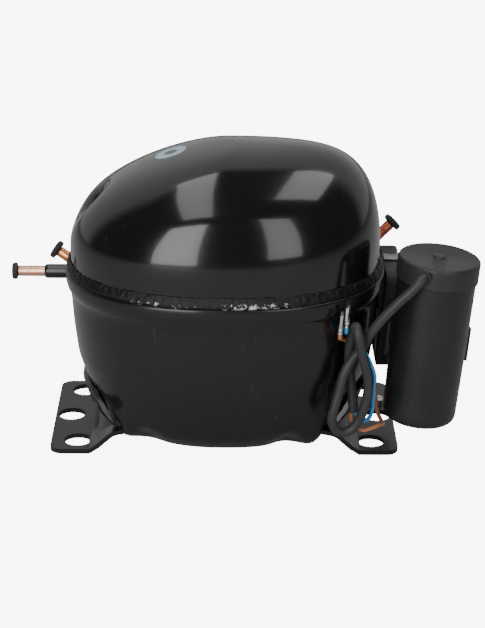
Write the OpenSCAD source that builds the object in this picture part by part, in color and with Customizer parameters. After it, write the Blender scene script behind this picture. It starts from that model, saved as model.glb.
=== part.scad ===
/* [Mounting feet] */
// distance between the bolt holes along the long side
hole_span_x = 170; // [120:1:200]
// distance between the bolt holes along the short side
hole_span_y = 70; // [50:1:100]
// diameter of every hole in the feet
hole_d = 16; // [8:0.5:20]
// length over both foot plates
feet_len = 201; // [180:1:230]
// width of each foot plate
feet_w = 96; // [80:1:120]
// sheet thickness of the feet
foot_t = 3; // [2:0.5:5]
// distance of the middle hole from the centre
mid_hole_x = 91; // [80:1:100]

/* [Housing] */
// half length of the flared rim
rim_a = 92; // [80:1:110]
// half width of the flared rim
rim_b = 75; // [60:1:90]
// height of the rim top
rim_z = 100; // [80:1:120]
// half length of the cover at its foot
cover_a = 89; // [75:0.5:105]
// half width of the cover at its foot
cover_b = 71.8; // [60:0.5:85]
// height of the cover dome above its straight wall
dome_h = 59.9; // [40:0.5:80]
// sheet thickness of the housing
shell_t = 3; // [2:0.1:5]

/* [Compressor mechanism] */
// crank radius, half the piston stroke
crank_r = 8.5; // [5:0.1:12]
// cylinder bore diameter
bore_d = 24; // [16:0.5:30]
// height of the cylinder axis
cyl_z = 136; // [130:1:140]
// shaft diameter
shaft_d = 18; // [12:0.5:22]
// crank pin diameter
pin_d = 12; // [8:0.5:16]
// radial running clearance of bearings and piston
run_gap = 0.04; // [0.01:0.01:0.1]

/* [Motor] */
// length of the lamination block
stator_x = 100; // [80:1:110]
// width of the lamination block
stator_y = 88; // [70:1:96]
// bottom of the lamination block
stator_z0 = 48; // [40:1:60]
// height of the lamination block
stator_h = 45; // [30:1:60]
// rotor diameter
rotor_d = 62; // [50:1:70]
// number of stator slots
slots = 24; // [12:2:36]

/* [Capacitor] */
// radius of the can at its bottom
can_r1 = 21; // [15:0.1:30]
// radius of the can below its cap
can_r2 = 22.3; // [15:0.1:30]
// radius of the cap
cap_r = 23.3; // [16:0.1:32]
// length of the can below its cap
can_h = 86; // [60:1:110]
// height of the cap
cap_h = 12.6; // [8:0.1:20]
// lean of the capacitor away from the housing
cap_lean = 4.6; // [0:0.1:10]

/* [Cables] */
// diameter of the cable sheath
cable_d = 5.5; // [3:0.1:8]
// diameter of each wire
wire_d = 2.4; // [1.5:0.1:4]

/* [Hidden] */
$fn = 48;
plan_n = 2.25;
around = 88;
// outside of the lower shell: half length, half width, height, corner power
low_out = [[2, 2, 4, 2.3], [20, 18, 4.3, 2.3], [38, 34, 4.6, 2.3], [50, 47, 5.4, 2.3],
  [58, 54.5, 7.4, 2.3], [63.5, 57.8, 10, 2.35], [69, 61, 14, 2.4], [73, 63, 18, 2.4],
  [75.8, 64.2, 22, 2.4], [78.5, 65.5, 30, 2.35], [81.4, 67, 37, 2.3], [84.3, 68.5, 45, plan_n],
  [86, 69.5, 52, plan_n],
  [87.8, 70.8, 67, plan_n], [88.5, 71.2, 76, plan_n], [89.1, 71.7, 84, plan_n],
  [89.9, 72.6, 88, plan_n], [91.2, 74.1, 91, plan_n], [rim_a - 0.15, rim_b - 0.15, 93.5, plan_n],
  [rim_a, rim_b, 95, plan_n], [rim_a, rim_b, rim_z, plan_n]];
low_in = [[cover_a + 0.4, cover_b + 0.4, rim_z, plan_n], [cover_a + 0.4, cover_b + 0.4, 92.7, plan_n],
  [86.2, 69, 92.6, plan_n], [86, 68.6, 82, plan_n], [84.8, 67.8, 67, plan_n],
  [83, 66.5, 52, plan_n], [81.3, 65.5, 45, plan_n], [75.5, 62.5, 30, 2.35],
  [72.6, 61, 21, 2.4], [66, 58, 15.5, 2.4], [62, 54, 13, 2.3], [49, 41.5, 13, 3], [40, 34, 9, 3],
  [2, 2, 8, 3]];
low_len = [for (p = low_out) [p[2], p[0]]];
low_wid = [for (p = low_out) [p[2], p[1]]];
low_pow = [for (p = low_out) [p[2], p[3]]];
pad_x = 76;
saddle_w = 68;
spring_x = 42;
spring_y = 34;
lobe = [52.5, 46, 12];
lobe_amp = 7;
lobe_w = 7;
notch = [40.5, 52, 11];
notch_amp = 3.4;
notch_w = 5.5;
press_x = -4.5;
dent = [-77, 8, 133];
dent_w = 9.5;
dent_amp = 9;
dome_z = 111.8;
dome_steps = [0, 6, 14, 23, 32, 41, 50, 58, 66, 73, 79, 84, 87.5, 89.6];
wall_steps = [89.4, 86, 81, 73, 64, 52, 40, 28, 14, 0];
crank_a = 45;
pin_x = crank_r * cos(crank_a);
pin_y = crank_r * sin(crank_a);
web_c = [pin_x / 2, pin_y / 2];
bore_r = bore_d / 2;
crown_x = pin_x + 40;
shaft_r = shaft_d / 2;
pin_r = pin_d / 2;
rotor_r = rotor_d / 2;
stator_z1 = stator_z0 + stator_h;
term_y = 17;
term_z = 66;
cap_o = [112, -36, 19.5];
suction_p = [-80, 24, 85];
process_p = [-72.3, 37.6, 73];
process_d = [-0.832, 0.21, 0.514];
discharge_p = [63.7, 46, 71.4];
discharge_d = [0.724, 0.26, 0.638];
tube_ro = 3.15;
tube_ri = 2.4;
pin_ring = 7;
bolt_yz = 16;
leg_r = 6.5;
plate_z0 = 111;
plate_z1 = 117;

cable_pts = [[110.46, -55.53, 113.53], [108.78, -59.7, 113.66], [106, -62.3, 111.6],
  [101, -62.5, 106], [94.5, -62.5, 99.5], [87.3, -62, 91], [80.8, -60.3, 81],
  [76.8, -58.6, 72], [71.5, -58.5, 65], [67, -60, 57], [64.5, -61, 47], [62, -62, 37],
  [60.5, -62, 30], [62.3, -61, 23.5], [67, -59.5, 20], [72, -58.5, 21.5],
  [75.5, -58.5, 26.5], [78, -59.5, 33], [80, -60.5, 42], [80.3, -62, 52], [78.5, -64, 62],
  [76, -66, 71], [74.5, -67.5, 79], [73.2, -66.5, 84.5], [72.3, -62.5, 86],
  [71.8, -58.3, 82.5], [70.5, -55, 75], [69.8, -53, 64], [71, -52.5, 50], [72.5, -52, 38],
  [73.5, -52, 30]];
blue_pts = [[75, -52, 29.9], [75.8, -51.6, 26], [78.5, -51, 23.3], [81.8, -51.3, 24.5],
  [83.7, -52.5, 30], [84, -54.5, 38.5], [83.8, -57, 46.7], [84, -59, 54.7],
  [81.7, -59.6, 62], [79, -55.5, 66.5], [75.3, -51.5, 70.5], [72, -50.8, 74.5],
  [69.1, -51.6, 77.8], [67.6, -54.5, 79.6], [67.3, -58.6, 80.9], [67.4, -60.4, 82.4],
  [67.4, -60.5, 84.5]];
brown_pts = [[72.1, -52, 29.1], [72.2, -51.4, 25], [74.3, -51.3, 20.3], [79.3, -54, 18.8], [84,
  -52.5, 19.5], [88.5, -49.5, 20], [91, -44.5, 18.2], [90.5, -38, 17.6], [88.5, -32.5, 21], [87,
  -33.5, 32], [86, -38, 42], [83.5, -43, 52], [80, -47, 60], [76, -48.6, 65.3], [72, -49.2,
  69.5], [69.1, -50.22, 71.89], [66.68, -52.4, 74.05], [64.2, -56, 76.5], [63.8, -60.2, 78],
  [63.8, -62.2, 79.6], [63.8, -62.4, 81.5]];
line_pts = [[34, -41.6, 131], [35, -46, 128], [44, -50, 118], [56, -48, 108],
  [66, -38, 98], [71, -20, 90], [71.5, 4, 84], [68, 22, 76], [61.5, 34, 67.5],
  [57, 40.5, 65.2], [58.4, 44.1, 66.7], [60.6, 44.9, 68.66]];

function sg(v) = v < 0 ? -1 : 1;
function pw(v, n) = sg(v) * pow(abs(v), 2 / n);
function ring(al, ar, b, z, n = plan_n, xs = 0) = [for (i = [0:around - 1])
  let (t = 360 * i / around, c = cos(t), s = sin(t))
  [(c < 0 ? al : ar) * pw(c, n) + xs, b * pw(s, n), z]];
function bell(p, c, w) = exp(-(pow(p[0] - c[0], 2) + pow(p[1] - c[1], 2)
  + pow(p[2] - c[2], 2)) / (2 * w * w));
function notched(p) = let (q = [abs(p[0] - press_x), abs(p[1]), p[2]],
  out = lobe_amp * bell(q, lobe, lobe_w), up = notch_amp * bell(q, notch, notch_w))
  [p[0] + sg(p[0] - press_x) * 0.35 * out, p[1] + sg(p[1]) * (0.45 * out - 0.55 * up),
   p[2] - 0.55 * out + 0.75 * up];
function dented(p) = let (g = dent_amp * bell(p, dent, dent_w)) [p[0] + g, p[1], p[2] - 0.3 * g];
function dome(th, off) = let (c = max(cos(th), 0.004), s = sin(th))
  ring(cover_a * pow(c, 1.46) - off * cos(th), cover_a * pow(c, 0.437) - off * cos(th),
    cover_b * pow(c, 0.93) - off * cos(th), dome_z + (dome_h - off) * pow(s, 0.844),
    plan_n, 9.5 * (1 - pow(c, 0.437)));
function flat(a) = [for (r = a) each r];
function unit(v) = v / norm(v);
function tangent(p, i) = let (n = len(p) - 1)
  unit(i == 0 ? p[1] - p[0] : i == n ? p[n] - p[n - 1] : p[i + 1] - p[i - 1]);
function side(t, u) = unit(u - t * (u * t));
function frames(p, i, u) = i >= len(p) ? [] :
  let (t = tangent(p, i), s = side(t, u)) concat([[t, s, cross(t, s)]], frames(p, i + 1, s));

module loft(rings, count) {
  m = len(rings);
  faces = concat([[for (i = [0:count - 1]) i]],
    [for (k = [0:m - 2]) for (i = [0:count - 1])
      for (f = [0, 1]) f == 0
        ? [k * count + i, (k + 1) * count + i, (k + 1) * count + (i + 1) % count]
        : [k * count + i, (k + 1) * count + (i + 1) % count, k * count + (i + 1) % count]],
    [[for (i = [count - 1:-1:0]) (m - 1) * count + i]]);
  polyhedron(flat(rings), faces);
}

module band(rings, count) {
  m = len(rings);
  polyhedron(flat(rings), [for (k = [0:m - 1]) for (i = [0:count - 1]) for (f = [0, 1])
    let (a = k * count + i, b = k * count + (i + 1) % count,
      c = ((k + 1) % m) * count + i, d = ((k + 1) % m) * count + (i + 1) % count)
    f == 0 ? [a, c, d] : [a, d, b]]);
}

module sweep(p, r, n, up) {
  fr = frames(p, 0, up);
  loft([for (i = [0:len(p) - 1]) [for (k = [0:n - 1])
    p[i] + r * (cos(360 * k / n) * fr[i][1] - sin(360 * k / n) * fr[i][2])]], n);
}

module aim(p, d) {
  translate(p) rotate([0, acos(d[2] / norm(d)), atan2(d[1], d[0])]) children();
}

module pipe(p, d, l, ro, ri) {
  aim(p, d) difference() {
    cylinder(h = l, r = ro);
    translate([0, 0, -1]) cylinder(h = l + 2, r = ri);
  }
}

module four(x, y) {
  for (i = [-1, 1]) for (j = [-1, 1]) translate([i * x, j * y, 0]) children();
}

module stadium(w, h, r) {
  square([w - 2 * r, h], center = true);
  square([w, h - 2 * r], center = true);
  for (i = [-1, 1]) for (j = [-1, 1]) translate([i * (w / 2 - r), j * (h / 2 - r)]) circle(r = r);
}

module along_x(x, y, z) {
  translate([x, y, z]) rotate([0, 90, 0]) children();
}

module capacitor_frame() {
  translate(cap_o) rotate([0, cap_lean, 0]) children();
}

module lower_shell() {
  color([0.05, 0.05, 0.055]) difference() {
    loft(concat([for (p = low_out) [for (q = ring(p[0], p[0], p[1], p[2], p[3])) notched(q)]],
      [for (p = low_in) [for (q = ring(p[0], p[0], p[1], p[2], p[3])) p[0] > 64 ? notched(q) : q]]),
      around);
    along_x(70, term_y, term_z) cylinder(h = 30, r = 16);
    along_x(-100, suction_p[1], suction_p[2]) cylinder(h = 30, r = 4.6);
    aim(process_p - 8 * process_d, process_d) cylinder(h = 24, r = 4.6);
    aim(discharge_p - 8 * discharge_d, discharge_d) cylinder(h = 24, r = 4.6);
  }
}

module upper_shell() {
  color([0.06, 0.06, 0.065]) loft(concat(
    [for (t = wall_steps) [for (q = dome(t, shell_t)) dented(q)]],
    [ring(cover_a - shell_t, cover_a - shell_t, cover_b - shell_t, 93),
     ring(cover_a, cover_a, cover_b, 93), ring(cover_a, cover_a, cover_b, 104)],
    [for (t = dome_steps) [for (q = dome(t, 0)) dented(q)]]), around);
}

module seam_weld() {
  color([0.35, 0.35, 0.36]) band([
    ring(rim_a - 0.4, rim_a - 0.4, rim_b - 0.4, rim_z + 0.05),
    ring(rim_a - 0.6, rim_a - 0.6, rim_b - 0.6, rim_z + 1.6),
    ring(cover_a + 1.1, cover_a + 1.1, cover_b + 1.1, rim_z + 4.6),
    ring(cover_a + 0.35, cover_a + 0.35, cover_b + 0.35, rim_z + 6.2),
    ring(cover_a + 0.3, cover_a + 0.3, cover_b + 0.3, rim_z + 0.05)], around);
}

function x_at(y, z, off) = let (n = lookup(z, low_pow))
  3.6 * exp(-pow(abs(y) - lobe[1], 2) / 98) + (lookup(z, low_len) + off)
  * pow(max(0.02, 1 - pow(abs(y) / (lookup(z, low_wid) + off), n)), 1 / n);

module pad() {
  difference() {
    linear_extrude(foot_t) difference() {
      translate([(feet_len / 2 + pad_x - 10) / 2, 0]) stadium(feet_len / 2 - pad_x + 10, feet_w, 7);
      translate([pad_x - 12, -feet_w / 2 - 1]) square([12, feet_w + 2]);
    }
    for (j = [-1, 1]) translate([hole_span_x / 2, j * hole_span_y / 2, -1]) cylinder(h = 9, r = hole_d / 2);
    translate([mid_hole_x, 0, -1]) cylinder(h = 9, r = hole_d / 2);
  }
}

module saddle() {
  heights = [34, 27, 22, 18, 14, 11];
  loft([for (k = [8:-1:-8]) let (y = k * saddle_w / 16, xs = max(x_at(y, 14, 3.6), 64)) concat(
    [[pad_x - 0.02, y, 0], [pad_x - 0.02, y, foot_t], [xs, y, 14]],
    [for (z = [14.6, 20, 27, 34]) [x_at(y, z, z > 30 ? 2.7 : 3.1), y, z]],
    [for (z = heights) [x_at(y, z, 0.7), y, z]],
    [[max(x_at(y, 11, 1.9), 62), y, 10.4]])], 14);
}

module left_foot() {
  color([0.05, 0.05, 0.055]) mirror([1, 0, 0]) pad();
}

module right_foot() {
  color([0.05, 0.05, 0.055]) difference() {
    pad();
    translate([92, 18, -1]) cylinder(h = 9, r = 2.55);
  }
}

module left_saddle() {
  color([0.05, 0.05, 0.055]) mirror([1, 0, 0]) saddle();
}

module right_saddle() {
  color([0.05, 0.05, 0.055]) saddle();
}

module tube_sleeves() {
  color([0.08, 0.08, 0.08]) {
    pipe([suction_p[0] - 0, suction_p[1], suction_p[2]], [-1, 0, 0], 27, 4.3, tube_ro + 0.05);
    pipe(process_p, process_d, 20, 4.3, tube_ro + 0.05);
    pipe(discharge_p, discharge_d, 22, 4.3, tube_ro + 0.05);
  }
}

module suction_tube() {
  color([0.85, 0.45, 0.3]) pipe([suction_p[0] + 4, suction_p[1], suction_p[2]], [-1, 0, 0], 46.5, tube_ro, tube_ri);
}

module plug(p, d, ro) {
  aim(p, d) rotate_extrude() polygon([[0, 0], [ro - 0.5, 0], [ro, 0.5], [ro, 3],
    [ro - 0.5, 3.5], [1.6, 3.5], [1.6, 1.4], [0, 1.4]]);
  aim(p - 6 * d, d) rotate_extrude() polygon([[0, 0], [tube_ri - 0.7, 0],
    [tube_ri - 0.35, 0.8], [tube_ri - 0.35, 5.7], [ro - 0.6, 5.7], [ro - 0.6, 6.1], [0, 6.1]]);
}

module suction_plug() {
  color([0.06, 0.06, 0.06]) plug([suction_p[0] - 42.9, suction_p[1], suction_p[2]], [-1, 0, 0], 5);
}

module process_tube() {
  color([0.8, 0.42, 0.2]) pipe(process_p - 4 * process_d, process_d, 37, tube_ro, tube_ri);
}

module process_plug() {
  color([0.06, 0.06, 0.06]) plug(process_p + 33.4 * process_d, process_d, 5.7);
}

module discharge_tube() {
  color([0.55, 0.2, 0.14]) pipe(discharge_p - 4 * discharge_d, discharge_d, 54, tube_ro, tube_ri);
}

module discharge_plug() {
  color([0.06, 0.06, 0.06]) plug(discharge_p + 50.4 * discharge_d, discharge_d, 5.7);
}

module three_pins() {
  for (a = [0, 120, 240]) translate([0, term_y + pin_ring * sin(a), term_z + pin_ring * cos(a)])
    rotate([0, 90, 0]) children();
}

module terminal_plate() {
  color([0.6, 0.6, 0.6]) difference() {
    along_x(81, term_y, term_z) cylinder(h = 6, r = 15.7);
    translate([80, 0, 0]) three_pins() cylinder(h = 9, r = 3.25);
  }
}

module terminal_glass() {
  color([0.2, 0.45, 0.35]) translate([80.5, 0, 0]) three_pins() difference() {
    cylinder(h = 7.5, r = 3.2);
    translate([0, 0, -1]) cylinder(h = 10, r = 1.65);
  }
}

module terminal_pins() {
  color([0.75, 0.75, 0.72]) translate([75, 0, 0]) three_pins() cylinder(h = 24, r = 1.6);
}

module terminal_fence() {
  color([0.1, 0.1, 0.1]) difference() {
    along_x(88.2, term_y, term_z) linear_extrude(5) difference() {
      stadium(50, 46, 5);
      stadium(47, 43, 4);
    }
    translate([86, term_y - 30, 74]) cube([3.4, 60, 30]);
    translate([86, term_y - 30, 84]) cube([5.8, 60, 30]);
  }
}

module start_relay() {
  color([0.12, 0.12, 0.13]) difference() {
    union() {
      translate([89.4, 4, 55]) cube([9, 22, 25]);
      translate([98.4, 8, 60]) cube([1.6, 14, 15]);
    }
    translate([80, 0, 0]) three_pins() cylinder(h = 19.5, r = 1.7);
  }
}

module overload_protector() {
  color([0.14, 0.13, 0.12]) {
    along_x(89.4, 32.5, 56) cylinder(h = 8.5, r = 5.6);
    along_x(97.9, 32.5, 56) cylinder(h = 1.4, r = 3);
  }
}

module terminal_cover() {
  color([0.07, 0.07, 0.075]) difference() {
    along_x(88.8, term_y, term_z + 1.5) linear_extrude(14.2) stadium(59, 54, 6);
    along_x(88, term_y, term_z + 1.5) linear_extrude(13) stadium(55, 50, 4.5);
    translate([90, 35, 34]) cube([6, 5, 9]);
    translate([86, term_y - 32, 76]) cube([3.6, 64, 30]);
    translate([86, term_y - 32, 84]) cube([7, 64, 30]);
  }
}

module cover_clip() {
  color([0.6, 0.6, 0.6]) {
    translate([103.2, 12, 37]) cube([1, 10, 61]);
    translate([92, 12, 97.2]) cube([12.2, 10, 1]);
    translate([92, 12, 36.8]) cube([12.2, 10, 1]);
  }
}

module earth_screw() {
  color([0.75, 0.75, 0.72]) translate([92, 18, 0]) {
    translate([0, 0, 0.3]) cylinder(h = 3, r = 2.5);
    difference() {
      translate([0, 0, foot_t + 0.02]) cylinder(h = 3, r = 4.2);
      translate([-4.5, -0.5, foot_t + 2]) cube([9, 1, 2]);
    }
  }
}

module capacitor_bracket() {
  color([0.08, 0.08, 0.08]) {
    capacitor_frame() translate([0, 0, 36]) difference() {
      cylinder(h = 20, r = 23.9);
      translate([0, 0, -1]) cylinder(h = 22, r = 22);
      translate([-30, -40, -1]) cube([60, 42, 22]);
    }
    translate([97, -13.2, 58]) cube([5, 3, 14]);
  }
}

module capacitor_can() {
  color([0.12, 0.12, 0.12]) capacitor_frame() rotate_extrude($fn = 64) polygon([
    [0, 0], [can_r1 - 5, 0], [can_r1 - 2.4, 0.7], [can_r1 - 0.7, 2.4], [can_r1, 5],
    [can_r2, can_h], [can_r2 - 1.2, can_h], [can_r2 - 1.2, can_h + 2], [0, can_h + 2]]);
}

module capacitor_cap() {
  color([0.14, 0.135, 0.13]) capacitor_frame() translate([0, 0, can_h]) difference() {
    rotate_extrude($fn = 64) polygon([[can_r2 - 1, 0.05], [cap_r, 0.05], [cap_r, cap_h - 1.6],
      [cap_r - 0.5, cap_h - 0.5], [cap_r - 1.6, cap_h], [3.6, cap_h], [3.2, cap_h + 0.8],
      [0, cap_h + 0.8], [0, 2.1], [can_r2 - 1, 2.1]]);
    translate([0, 0, cap_h - 0.8]) difference() {
      cylinder(h = 3, r = 6);
      translate([0, 0, -1]) cylinder(h = 5, r = 3.6);
      translate([-8, -10, -1]) cube([16, 10, 6]);
    }
    translate([-8.4, -17.9, cap_h - 5]) rotate([90, 0, -22]) cylinder(h = 12, r = 3.6);
  }
}

module cable_grommet() {
  color([0.05, 0.05, 0.05]) capacitor_frame() translate([-8.7, -18.6, can_h + cap_h - 5])
    rotate([90, 0, -22]) difference() {
      union() {
        cylinder(h = 4.2, r = 3.35);
        translate([0, 0, 3.6]) cylinder(h = 1.2, r = 4);
      }
      translate([0, 0, 0.8]) cylinder(h = 6, r = 2.8);
    }
}

module capacitor_cable() {
  color([0.1, 0.1, 0.1]) sweep(cable_pts, cable_d / 2, 10, [0, 1, 0]);
}

module blue_wire() {
  color([0.1, 0.5, 0.85]) sweep(blue_pts, wire_d / 2, 8, [0, 1, 0]);
}

module brown_wire() {
  color([0.6, 0.28, 0.15]) sweep(brown_pts, wire_d / 2, 8, [0, 1, 0]);
}

module receptacle() {
  difference() {
    cylinder(h = 4.5, r = 1.6);
    translate([0, 0, -1]) cylinder(h = 3.5, r = 1.25);
  }
  translate([-3, -0.8, 4.4]) cube([6, 0.5, 8]);
  for (i = [-1, 1]) translate([i * 2.4, 0, 4.4]) difference() {
    cylinder(h = 8, r = 0.95);
    translate([0, 0, -1]) cylinder(h = 10, r = 0.55);
  }
}

module wire_terminals() {
  color([0.8, 0.8, 0.78]) {
    translate([67.4, -60.5, 84.7]) rotate([2, 3, 75]) receptacle();
    translate([63.8, -62.4, 81.7]) rotate([4, -2, 82]) receptacle();
  }
}

module lower_spring_seats() {
  color([0.5, 0.5, 0.5]) four(spring_x, spring_y) rotate_extrude() polygon([
    [0, 13.02], [6, 13.02], [6, 15], [9.3, 15], [9.3, 16.4], [6.6, 16.4], [6.6, 22],
    [5, 24], [0, 24]]);
}

module suspension_springs() {
  turns = 6;
  per = 13;
  color([0.55, 0.55, 0.56]) four(spring_x, spring_y)
    sweep([for (i = [0:turns * per]) let (a = 360 * i / per)
      [8 * cos(a), 8 * sin(a), 17.5 + 27.7 * i / (turns * per)]], 1, 6, [0, 0, 1]);
}

module discharge_line() {
  color([0.8, 0.45, 0.25]) sweep(line_pts, 2.2, 8, [0, 0, 1]);
}

module upper_spring_seats() {
  color([0.5, 0.5, 0.5]) four(spring_x, spring_y) rotate_extrude() polygon([
    [0, 39], [5, 39], [6.6, 41], [6.6, 46.3], [9.3, 46.3], [9.3, 47.98], [0, 47.98]]);
}

module stator_core() {
  color([0.45, 0.45, 0.47]) translate([0, 0, stator_z0]) linear_extrude(stator_h) difference() {
    stadium(stator_x, stator_y, 9);
    circle(r = rotor_r + 0.4, $fn = 96);
    for (i = [0:slots - 1]) rotate(360 * i / slots) translate([rotor_r, -1.8]) square([10.5, 3.6]);
    for (i = [-1, 1]) for (j = [-1, 1]) translate([i * spring_x, j * spring_y]) circle(r = 2.6);
  }
}

module winding_profile() {
  polygon([[33, 0.5], [35, 0], [41, 0], [43.6, 2.5], [44, 6], [43.4, 10], [40.5, 13.4],
    [36.5, 13.4], [33.6, 10.5]]);
}

module lower_windings() {
  color([0.6, 0.3, 0.12]) translate([0, 0, stator_z0 - 0.05]) mirror([0, 0, 1]) rotate_extrude()
    winding_profile();
}

module upper_windings() {
  color([0.6, 0.3, 0.12]) translate([0, 0, stator_z1 + 0.05]) rotate_extrude() winding_profile();
}

module stator_bolts() {
  color([0.3, 0.3, 0.3]) four(spring_x, spring_y)
    translate([0, 0, stator_z0 + 0.5]) cylinder(h = stator_h + 17, r = 2.5);
}

module cylinder_block() {
  color([0.42, 0.42, 0.44]) difference() {
    union() {
      translate([0, 0, plate_z0]) linear_extrude(plate_z1 - plate_z0) stadium(stator_x, 84, 9);
      four(spring_x, spring_y) translate([0, 0, stator_z1 + 0.02]) cylinder(h = plate_z0 - stator_z1, r = leg_r);
      translate([0, 0, 94]) cylinder(h = plate_z0 - 93, r = 14);
      translate([22.5, -20, plate_z1 - 1]) cube([26.5, 40, cyl_z + 20 - plate_z1 + 1]);
    }
    translate([0, 0, 90]) cylinder(h = 40, r = shaft_r + run_gap, $fn = 64);
    translate([49, -20.3, cyl_z - 20.2]) cube([20, 40.6, 10]);
    along_x(20, 0, cyl_z) cylinder(h = 40, r = bore_r, $fn = 64);
    for (i = [-1, 1]) for (j = [-1, 1]) along_x(38, i * bolt_yz, cyl_z + j * bolt_yz)
      cylinder(h = 20, r = 2.45);
    four(spring_x, spring_y) translate([0, 0, 90]) cylinder(h = 21, r = 2.6);
  }
}

module plate_stack(x, t) {
  difference() {
    translate([x, -20, cyl_z - 20]) cube([t, 40, 40]);
    for (i = [-1, 1]) for (j = [-1, 1]) along_x(x - 1, i * bolt_yz, cyl_z + j * bolt_yz)
      cylinder(h = t + 2, r = 2.6);
    children();
  }
}

module front_gasket() {
  color([0.35, 0.3, 0.25]) plate_stack(49.02, 0.45)
    along_x(45, 0, cyl_z) cylinder(h = 9, r = bore_r + 0.4);
}

module valve_plate() {
  color([0.62, 0.62, 0.64]) plate_stack(49.5, 3) {
    along_x(45, 4.8, cyl_z + 5) cylinder(h = 9, r = 2.4);
    along_x(45, -5, cyl_z + 5) cylinder(h = 9, r = 2);
  }
}

module rear_gasket() {
  color([0.35, 0.3, 0.25]) plate_stack(52.53, 0.45) {
    translate([50, 1.2, cyl_z - 11]) cube([5, 10, 22]);
    translate([50, -11.2, cyl_z - 11]) cube([5, 10, 22]);
  }
}

module cylinder_head() {
  color([0.5, 0.5, 0.52]) plate_stack(53, 14) {
    translate([50, 1.2, cyl_z - 11]) cube([12, 10, 22]);
    translate([50, -11.2, cyl_z - 11]) cube([12, 10, 22]);
    translate([57, 10, cyl_z]) rotate([-90, 0, 0]) cylinder(h = 12, r = 2.3);
    translate([57, -10, cyl_z]) rotate([90, 0, 0]) cylinder(h = 12, r = 2.3);
  }
}

module head_bolts() {
  color([0.25, 0.25, 0.25]) for (i = [-1, 1]) for (j = [-1, 1])
    along_x(0, i * bolt_yz, cyl_z + j * bolt_yz) {
      translate([0, 0, 39]) cylinder(h = 28.5, r = 2.4);
      translate([0, 0, 67.05]) cylinder(h = 2.1, r = 4, $fn = 6);
    }
}

module discharge_valve_stop() {
  color([0.6, 0.6, 0.6]) translate([0, -8, 0]) {
    translate([52.95, 0, cyl_z - 10.5]) cube([1.2, 6, 1.4]);
    translate([54.1, 0, cyl_z - 10.5]) rotate([0, 7, 0]) cube([0.9, 6, 19]);
  }
}

module suction_muffler() {
  color([0.85, 0.83, 0.78]) {
    difference() {
      translate([26, 22, 121]) cube([26, 15, 28]);
      translate([27.5, 23.5, 122.5]) cube([23, 12, 25]);
      translate([45, 30, 130]) rotate([0, 90, 0]) cylinder(h = 9, r = 2);
    }
    translate([57, 20.3, cyl_z]) rotate([-90, 0, 0]) difference() {
      cylinder(h = 8, r = 3.2);
      translate([0, 0, -1]) cylinder(h = 7, r = 2.2);
    }
    translate([51, 22.5, cyl_z - 3.2]) cube([4, 5.8, 6.4]);
  }
}

module discharge_muffler() {
  color([0.5, 0.5, 0.52]) {
    translate([34, -31.2, 122]) difference() {
      cylinder(h = 23, r = 10);
      translate([0, 0, 1.5]) cylinder(h = 20, r = 8.5);
      translate([0, -5, 9]) rotate([90, 0, 0]) cylinder(h = 9, r = 2.3);
    }
    translate([43, -27, cyl_z - 3]) cube([11, 6, 6]);
    translate([57, -20.3, cyl_z]) rotate([90, 0, 0]) cylinder(h = 6.7, r = 3.4);
  }
}

module crankshaft() {
  color([0.6, 0.6, 0.62]) difference() {
    union() {
      translate([0, 0, 34]) cylinder(h = plate_z1 - 33, r = shaft_r, $fn = 64);
      translate([web_c[0], web_c[1], plate_z1 + 0.1]) cylinder(h = 5.9, r = 15.5, $fn = 64);
      translate([pin_x, pin_y, plate_z1 + 5]) cylinder(h = 30.5, r = pin_r, $fn = 64);
    }
    translate([3, 3, 30]) cylinder(h = 140, r = 1.6);
    translate([0, 0, 30]) cylinder(h = 24, r = 5);
  }
}

module counterweight() {
  color([0.5, 0.5, 0.5]) translate([0, 0, 148.3]) linear_extrude(5) difference() {
    union() {
      rotate(crank_a) translate([-20, -9]) square([32, 18]);
      intersection() {
        circle(r = 21.9);
        rotate(crank_a) translate([-30, -30]) square([22, 60]);
      }
      translate([pin_x, pin_y]) circle(r = 9);
    }
    translate([pin_x, pin_y]) circle(r = pin_r + 0.005);
  }
}

module rotor_core() {
  color([0.48, 0.48, 0.5]) translate([0, 0, stator_z0]) linear_extrude(stator_h - 1) difference() {
    circle(r = rotor_r, $fn = 96);
    circle(r = shaft_r, $fn = 64);
    for (i = [0:7]) rotate(45 * i) translate([16, 0]) circle(r = 3);
  }
}

module rotor_end_rings() {
  color([0.7, 0.7, 0.72]) {
    for (z = [stator_z0 - 4.05, stator_z1 - 0.95]) translate([0, 0, z]) linear_extrude(4) difference() {
      circle(r = 29);
      circle(r = 20.5);
    }
  }
}

module oil_pickup() {
  color([0.6, 0.6, 0.62]) difference() {
    union() {
      translate([0, 0, 30]) cylinder(h = 18, r = 4.98);
      translate([0, 0, 16]) cylinder(h = 14.1, r1 = 2.8, r2 = 4.98);
    }
    translate([0, 0, 15]) cylinder(h = 34, r = 2);
  }
}

module slide_block() {
  color([0.55, 0.5, 0.45]) difference() {
    translate([pin_x, pin_y + 11, cyl_z]) rotate([90, 0, 0]) cylinder(h = 22, r = 8.95, $fn = 64);
    translate([pin_x, pin_y, 120]) cylinder(h = 32, r = pin_r + run_gap, $fn = 64);
  }
}

module thrust_ring() {
  color([0.7, 0.6, 0.35]) translate([web_c[0], web_c[1], 118]) difference() {
    cylinder(h = 4, r = 18, $fn = 64);
    translate([0, 0, -1]) cylinder(h = 6, r = 15.5 + run_gap, $fn = 64);
  }
}

module piston() {
  color([0.6, 0.6, 0.62]) along_x(crown_x - 22, 0, cyl_z) difference() {
    cylinder(h = 22, r = bore_r - run_gap, $fn = 64);
    translate([0, 0, -1]) cylinder(h = 16, r = 8.4);
    translate([0, 0, 18]) difference() {
      cylinder(h = 1, r = 20);
      translate([0, 0, -1]) cylinder(h = 3, r = 11.3);
    }
  }
}

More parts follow.
